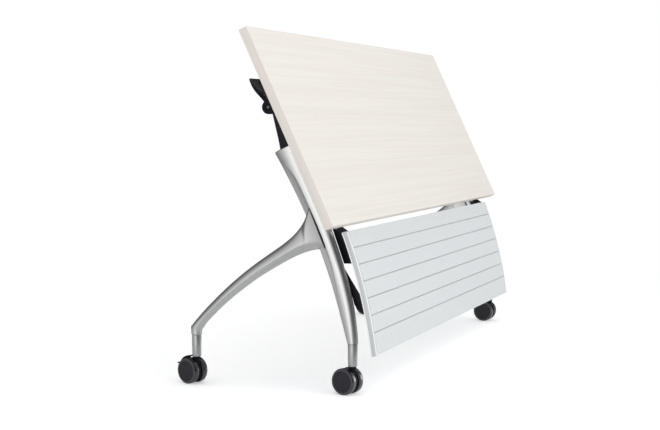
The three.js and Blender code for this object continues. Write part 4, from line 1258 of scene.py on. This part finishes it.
class TABLE_OT_linkage(bpy.types.Operator):
    """Makes the seats, arms and stays that carry the panel"""

    bl_idname = "training_table.linkage"
    bl_label = "Panel Linkage"

    def execute(self, context):
        sizes, colours = context.scene.table_sizes, context.scene.table_colours
        paint = black_paint(colours)
        lean = math.atan2(HINGE.y, HINGE.x) / math.pi
        along = (STAY_END - STAY_TOP).normalized()
        aside = Vector((along.y, -along.x))
        heel = [
            STAY_TOP + along * run + aside * reach
            for run, reach in ((0.120, LINK_HALF), (0.170, 0.014), (0.192, 0.0205), (0.207, 0.020))]
        stay_outline = [
            *arc(STAY_TOP, LINK_HALF, lean + 0.5, lean + 1.5), *[tuple(point) for point in heel],
            *arc(STAY_END, LINK_HALF, lean - 0.3, lean + 0.5)]
        seat_outline = [
            (HINGE.x - SEAT_LENGTH / 2, WEB_TOP), *arc(HINGE, LINK_EYE, 1.0, 2.0),
            (HINGE.x + LINK_EYE, HINGE.y + LINK_EYE / 2), (HINGE.x, WEB_TOP)]
        for label, side in SIDES:
            low, high = local_box(f"panel_stay_{label}", TOP_PLACE)
            stay = soften(prism(f"{label}_stay", stay_outline, low.x, high.x, TOP_PLACE), 0.0008)
            drill(
                stay, low.x - BORE_REACH, high.x + BORE_REACH, TOP_PLACE,
                (STAY_BORE, STAY_TOP), (STAY_BORE, STAY_END))
            dress(stay, paint, f"stay_{label}", [f"panel_stay_{label}"])
            low, high = local_box(f"panel_hinge_seat_{label}", TOP_PLACE)
            ear = (high.x - SEAT_EAR_WIDTH, high.x) if side > 0 else (low.x, low.x + SEAT_EAR_WIDTH)
            seat = soften(prism(f"{label}_hinge_seat", seat_outline, *ear, TOP_PLACE), 0.0008)
            flange = soften(block(
                "flange", (low.x, HINGE.x - SEAT_LENGTH, FLANGE_BOTTOM),
                (high.x, HINGE.x, FLANGE_TOP), TOP_PLACE), 0.001)
            combine(seat, "UNION", flange)
            drill(seat, low.x - BORE_REACH, high.x + BORE_REACH, TOP_PLACE, (HINGE_BORE, HINGE))
            dress(seat, paint, "top", [f"panel_hinge_seat_{label}"])
            inner = (low.x + 0.012) if side > 0 else (high.x - 0.012)
            places = [(inner, HINGE.x - back) for back in (0.012, 0.040)]
            add_screws(f"{label}_seat_screws", places, sizes, colours)
            self.add_arm(label, paint)
        return {"FINISHED"}

    def add_arm(self, label, paint):
        """One arm from the hinge down the inside of the panel to the stay's lower pin."""
        low, high = local_box(f"panel_arm_{label}", PANEL_PLACE)
        pin_low, pin_high = local_box(f"stay_lower_pin_{label}", PANEL_PLACE)
        lug = ((pin_low.y + pin_high.y) / 2, (pin_low.z + pin_high.z) / 2)
        back, strip = PANEL_SHEET + GAP, 0.008
        toe = PANEL_HIGH.z - 0.086
        outline = [
            *arc((0, 0), LINK_EYE, 0.25, 1.0),
            (0.004 - LINK_EYE, -0.04), (0.010 - LINK_EYE, toe),
            *panel_curve(back + strip, toe - strip, lug[1] + 0.034, 16),
            (lug[0] - 0.8 * LINK_HALF, lug[1] + 0.3 * LINK_HALF), *arc(lug, LINK_HALF, 1.05, 1.4, 8),
            *panel_curve(back, lug[1] - 1.1 * LINK_HALF, PANEL_HIGH.z - back, 30),
        ]
        arm = soften(prism(f"{label}_panel_arm", outline, low.x, high.x, PANEL_PLACE), 0.0008)
        drill(
            arm, low.x - BORE_REACH, high.x + BORE_REACH, PANEL_PLACE,
            (HINGE_BORE, (0, 0)), (STAY_BORE, lug))
        dress(arm, paint, "panel", [f"panel_arm_{label}"])


# Castors

WHEEL_RADIUS = joint_place("roll_outer_rear_right").z
TRAIL = 0.018
AXLE = (-TRAIL, WHEEL_RADIUS)
WHEEL_INNER = 0.007
WEB_HALF = 0.006
WEB_RADIUS = 0.033
FACE_RADIUS = 0.0306
RIM_FROM = 0.0184
RIM_INSET = 0.0018
AXLE_RADIUS = 0.004
AXLE_BORE = 0.0043
NECK_RADIUS = 0.0104
KINGPIN_RADIUS = 0.0055
PEDAL_PIN_RADIUS = 0.026
PEDAL_PIN_ANGLE = 24
PEDAL_HALF_WIDTH = 0.014
PEDAL_BORE = 0.0023
LUG_HALF_WIDTH = 0.0025
LUG_INNER = 0.022
LUG_HALF_ANGLE = 9


def wheel_profile():
    """A wheel from its bore out to its tread and back over its flat face, in (radius, height)."""
    r = WHEEL_RADIUS
    return [
        (0, 0.0153), (AXLE_BORE, 0.0153), (AXLE_BORE, 0), (0.010, 0), (0.0115, 0.0025),
        (r - 0.0085, 0.0025), (r - 0.007, 0.0004), (r - 0.003, 0.0003), (r - 0.0014, 0.0009),
        (r - 0.0004, 0.0021), (r, 0.0042), (r, 0.0152), (r - 0.0003, 0.0166), (r - 0.0010, 0.0174),
        (r - 0.0016, 0.0175), (r - 0.0018, 0.0181), (r - 0.0021, 0.0190), (r - 0.0029, 0.0197),
        (r - 0.0040, 0.0200), (r - 0.0056, 0.0200), (r - 0.0064, 0.0197), (FACE_RADIUS, 0.0189),
        (FACE_RADIUS - 0.0008, 0.0186), (0.020, 0.0187), (0.010, 0.0188), (0, 0.0189)]


class TABLE_OT_castors(bpy.types.Operator):
    """Makes the stems, hoods, axles and twin wheels of the castors"""

    bl_idname = "training_table.castors"
    bl_label = "Castors"

    def execute(self, context):
        colours = context.scene.table_colours
        for corner in CORNERS:
            self.add_stem(corner, colours)
            self.add_hood(corner, colours)
            self.add_wheels(corner, colours)
        return {"FINISHED"}

    def add_stem(self, corner, colours):
        """A tapered sleeve with a spigot up into the leg."""
        low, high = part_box(f"castor_stem_{corner}")
        middle = (low + high) / 2
        spigot_length = 0.024
        top, foot, bore_end = high.z - spigot_length, low.z, low.z + 0.0383
        wide, narrow, spigot, bore = 0.0140, 0.0130, 0.009, 0.0058
        profile = [
            (0, bore_end), (bore, bore_end), (bore, foot), (narrow - 0.001, foot),
            (narrow - 0.0003, foot + 0.0004), (narrow, foot + 0.0014), (wide - 0.0002, top - 0.0016),
            (wide - 0.0006, top - 0.0005), (wide - 0.0016, top), (spigot, top), (spigot, high.z),
            (0, high.z)]
        stem = turned(f"{corner}_stem", profile, Matrix.Translation((middle.x, middle.y, 0)), 56)
        dress(stem, satin_stem(colours), "frame", [f"castor_stem_{corner}"])

    def add_hood(self, corner, colours):
        """The web between the wheels, the boss under the stem and the kingpin."""
        place = castor_place(corner)
        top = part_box(f"castor_hood_{corner}")[1].z
        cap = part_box(f"castor_stem_{corner}")[0].z - GAP
        depth = 0.0075
        front = math.acos((depth + TRAIL) / WEB_RADIUS) / math.pi
        rear = math.acos((TRAIL - depth) / WEB_RADIUS) / math.pi
        outline = [
            (depth, cap - 0.004), *arc(AXLE, WEB_RADIUS, front, rear - 2, 56), (-depth, cap - 0.004)]
        hood = soften(prism(f"{corner}_hood", outline, -WEB_HALF, WEB_HALF, place), 0.0012)
        boss = turned("boss", [
            (0, cap - 0.025), (0.0062, cap - 0.025), (0.0088, cap - 0.010),
            (NECK_RADIUS, cap - 0.0035), (NECK_RADIUS, cap - 0.0008), (NECK_RADIUS - 0.0008, cap),
            (KINGPIN_RADIUS, cap), (KINGPIN_RADIUS, top), (0, top)], place)
        combine(hood, "UNION", boss)
        drill(hood, -0.02, 0.02, place, (AXLE_BORE, AXLE))
        if corner.startswith("front"):
            slot_half = LUG_HALF_WIDTH + GAP
            pin = pedal_point(PEDAL_PIN_RADIUS, PEDAL_PIN_ANGLE)
            slot = block(
                "slot", (-slot_half, -0.08, pin[1] - 0.009), (slot_half, -NECK_RADIUS, 0.2), place)
            combine(hood, "DIFFERENCE", slot)
        body = f"castor_{corner}"
        dress(hood, black_moulding(colours), body, [f"castor_hood_{corner}"])
        axle_low, axle_high = local_box(f"castor_axle_{corner}", place)
        axle = bar(f"{corner}_axle", AXLE_RADIUS, axle_low.x, axle_high.x, AXLE, place, 0.0005)
        dress(axle, zinc_steel(colours), body, [f"castor_axle_{corner}"])

    def add_wheels(self, corner, colours):
        """Two wheels with a glossy tread, a flat dull face and a rim between them painted lighter as a
        sheen.
        """
        for hand, side in (("outer", 1), ("inner", -1)):
            place = castor_place(corner) @ Matrix.Translation((side * WHEEL_INNER, *AXLE))
            place = place @ Matrix.Rotation(side * QUARTER, 4, "Y")
            wheel = turned(f"{corner}_{hand}_wheel", wheel_profile(), place, 96)
            for finish in (glossy_tread, wheel_face, wheel_rim):
                wheel.data.materials.append(finish(colours))
            # The flat face takes the dull finish, and the ring round it takes the rim finish with its
            # painted sheen
            back = place.inverted()
            for polygon in wheel.data.polygons:
                spot = back @ polygon.center
                reach = math.hypot(spot.x, spot.y)
                if spot.z > RIM_FROM and reach < WHEEL_RADIUS - RIM_INSET:
                    polygon.material_index = 1 if reach < FACE_RADIUS else 2
            dress(wheel, glossy_tread(colours), f"wheel_{hand}_{corner}",
                  [f"castor_wheel_{hand}_{corner}"])


def pedal_point(radius, degrees):
    """A point of the brake pedal: a radius from the axle, an angle back from the wheel's top."""
    angle = math.radians(degrees)
    return (AXLE[0] - radius * math.sin(angle), AXLE[1] + radius * math.cos(angle))


class TABLE_OT_brakes(bpy.types.Operator):
    """Makes the brake pedals and their pins on the front castors"""

    bl_idname = "training_table.brakes"
    bl_label = "Brakes"

    def execute(self, context):
        colours = context.scene.table_colours
        inner, thick, start, end = WHEEL_RADIUS + 0.003, 0.0036, 15, 62
        steps = 20
        angles = [start + (end - start) * i / steps for i in range(steps + 1)]
        heel = pedal_point(inner, end)
        tab = (heel[0] - 0.0145, heel[1] - 0.0040)
        plate = [
            *[pedal_point(inner + thick, angle) for angle in angles], (tab[0], tab[1] + thick), tab,
            *[pedal_point(inner, angle) for angle in reversed(angles)]]
        lug_turns = (PEDAL_PIN_ANGLE - LUG_HALF_ANGLE, PEDAL_PIN_ANGLE + LUG_HALF_ANGLE)
        lug = [pedal_point(inner + thick / 2, angle) for angle in lug_turns]
        lug += [pedal_point(LUG_INNER, angle) for angle in reversed(lug_turns)]
        pin_at = pedal_point(PEDAL_PIN_RADIUS, PEDAL_PIN_ANGLE)
        for corner in ("front_right", "front_left"):
            place = castor_place(corner)
            pedal = soften(
                prism(f"{corner}_pedal", plate, -PEDAL_HALF_WIDTH, PEDAL_HALF_WIDTH, place), 0.0009)
            combine(pedal, "UNION", prism("lug", lug, -LUG_HALF_WIDTH, LUG_HALF_WIDTH, place))
            drill(pedal, -0.02, 0.02, place, (PEDAL_BORE, pin_at))
            body = f"brake_{corner}"
            plastic = black_moulding(colours)
            dress(pedal, plastic, body, [f"brake_pedal_{corner}"])
            slope = Vector((0, tab[0] - heel[0], tab[1] - heel[1])).normalized()
            first = Vector((0, tab[0], tab[1] + thick)) - slope * 0.0035
            rib_half, rib_step, rib_radius = 0.0115, 0.0032, 0.0007
            line = [place @ (first + Vector((x, 0, 0))) for x in (-rib_half, rib_half)]
            ribs = grown(
                f"{corner}_pedal_ribs", rib_tree, line, [(0, 1)], Count=4,
                Step=place.to_3x3() @ (slope * -rib_step), Radius=rib_radius, Material=plastic)
            dress(ribs, plastic, body)
            pin = bar(f"{corner}_brake_pin", 0.002, -WEB_HALF, WEB_HALF, pin_at, place, 0.0003)
            dress(pin, zinc_steel(colours), f"castor_{corner}", [f"brake_pin_{corner}"])
        return {"FINISHED"}


# Stage

SENSOR_WIDTH = 36
FLOOR_REACH = 2.2
FLOOR_GLOW = 0.38
DIM_SURROUND = 0.07
# Soft boxes seen in reflections: how squat, heading and height in degrees, sharpness, brightness
SOFT_BOXES = (
    (1.0, 0, 0, 12, 2.25),
    (1.9, -60, 0, 3.0, 0.35),
    (1.0, -42, 16, 7.5, 0.75),
    (0.4, 131, 0, 60, 5.0),
)


def soft_box(name, place, aim, size, power):
    """An area light aimed at a point, seen in no reflection."""
    lamp = bpy.data.lights.new(name, "AREA")
    lamp.shape = "RECTANGLE"
    lamp.size, lamp.size_y = size
    lamp.energy = power
    light = bpy.data.objects.new(name, lamp)
    light.location = place
    light.rotation_euler = (Vector(aim) - Vector(place)).to_track_quat("-Z", "Y").to_euler()
    light.visible_camera = False
    light.visible_glossy = False
    bpy.context.scene.collection.objects.link(light)


class TABLE_OT_stage(bpy.types.Operator):
    """Makes the pale floor, the studio light and the camera"""

    bl_idname = "training_table.stage"
    bl_label = "Stage"

    def execute(self, context):
        scene, settings = context.scene, context.scene.table_stage
        self.add_floor()
        self.add_world(scene)
        soft_box("key", place=(0.8, 2.4, 3.4), aim=(0, 0.1, 0.5), size=(3.0, 3.0), power=40)
        camera = bpy.data.objects.new("camera", bpy.data.cameras.new("camera"))
        camera.data.lens = settings.lens
        camera.data.sensor_width = SENSOR_WIDTH
        camera.location = Vector(settings.camera) + Vector((0, FOOT_MIDDLE.y, 0))
        level = math.cos(settings.pitch)
        look = Vector((
            -math.cos(settings.yaw) * level, -math.sin(settings.yaw) * level,
            -math.sin(settings.pitch)))
        camera.rotation_euler = look.to_track_quat("-Z", "Y").to_euler()
        scene.collection.objects.link(camera)
        scene.camera = camera
        scene.view_settings.view_transform = "Standard"
        return {"FINISHED"}

    def add_floor(self):
        """A pale floor with a faint gloss that fades out into the white surround."""
        count = 96
        turns = [2 * math.pi * k / count for k in range(count)]
        floor = new_piece(
            "floor", [(FLOOR_REACH * math.cos(a), FLOOR_REACH * math.sin(a), 0) for a in turns],
            [tuple(range(count))])
        made, wire = new_finish("pale_floor")
        held = wire.node("ShaderNodeTexCoord", output="Object")
        cloud = wire.noise(held, 0.6, 2.0)
        ground = cloud.blend((0.90, 0.90, 0.90, 1), (0.93, 0.93, 0.93, 1))
        away = wire.node("ShaderNodeVectorMath", {"operation": "LENGTH"}, {0: held}, "Value")
        seen = wire.node("ShaderNodeLightPath", output="Is Camera Ray")
        lift = seen.blend((0, 0, 0, 1), (1, 1, 1, 1))
        shade(
            made, wire, Base_Color=ground, Roughness=0.30 + cloud * 0.05, Specular_IOR_Level=0.25,
            Emission_Color=lift, Emission_Strength=FLOOR_GLOW,
            Alpha=1 - away.between(0.8, FLOOR_REACH))
        floor.data.materials.append(made)

    def add_world(self, scene):
        """A surround that is white to the camera, even for diffuse light and dim between its soft boxes."""
        world = bpy.data.worlds.new("studio")
        world.use_nodes = True
        wire = Wire(world.node_tree)
        direction = wire.node("ShaderNodeTexCoord", output="Object")
        mirrored = DIM_SURROUND
        for squat, heading, height, sharpness, strength in SOFT_BOXES:
            turn, rise = math.radians(heading), math.radians(height)
            middle = (math.cos(turn) * math.cos(rise), math.sin(turn) * math.cos(rise), math.sin(rise))
            pressed = wire.node(
                "ShaderNodeVectorMath", {"operation": "MULTIPLY"}, {0: direction, 1: (1, 1, squat)})
            unit = wire.node("ShaderNodeVectorMath", {"operation": "NORMALIZE"}, {0: pressed})
            toward = wire.node(
                "ShaderNodeVectorMath", {"operation": "DOT_PRODUCT"}, {0: unit, 1: middle}, "Value")
            mirrored = mirrored + toward.between(0.0, 1.0) ** sharpness * strength
        glossy = wire.node("ShaderNodeLightPath", output="Is Glossy Ray")
        seen = wire.node("ShaderNodeLightPath", output="Is Camera Ray")
        colour = seen.blend(glossy.blend((0.92, 0.93, 0.95, 1), mirrored), (1, 1, 1, 1))
        wire.feed(world.node_tree.nodes["Background"].inputs["Color"], colour)
        scene.world = world


class TABLE_PT_panel(bpy.types.Panel):
    """Lists the table's pieces and settings"""

    bl_idname = "TABLE_PT_panel"
    bl_label = "Training Table"
    bl_space_type = "VIEW_3D"
    bl_region_type = "UI"
    bl_category = "Training Table"

    def draw(self, context):
        for operator in OPERATORS:
            self.layout.operator(operator.bl_idname)
        for setting in GROUPS:
            group = getattr(context.scene, setting)
            box = self.layout.box()
            for name in group.__annotations__:
                box.prop(group, name)


OPERATORS = (
    TABLE_OT_stage,
    TABLE_OT_worktop,
    TABLE_OT_legs,
    TABLE_OT_brackets,
    TABLE_OT_release,
    TABLE_OT_pins,
    TABLE_OT_panel,
    TABLE_OT_linkage,
    TABLE_OT_castors,
    TABLE_OT_brakes,
)
GROUPS = {"table_sizes": TableSizes, "table_colours": TableColours, "table_stage": StageSettings}


def register():
    for name, group in GROUPS.items():
        bpy.utils.register_class(group)
        setattr(bpy.types.Scene, name, PointerProperty(type=group))
    for kind in (*OPERATORS, TABLE_PT_panel):
        bpy.utils.register_class(kind)


def unregister():
    for kind in (TABLE_PT_panel, *reversed(OPERATORS)):
        bpy.utils.unregister_class(kind)
    for name, group in GROUPS.items():
        delattr(bpy.types.Scene, name)
        bpy.utils.unregister_class(group)


def main():
    register()
    for operator in OPERATORS:
        getattr(bpy.ops.training_table, operator.bl_idname.split(".")[1])()


if __name__ == "__main__":
    main()
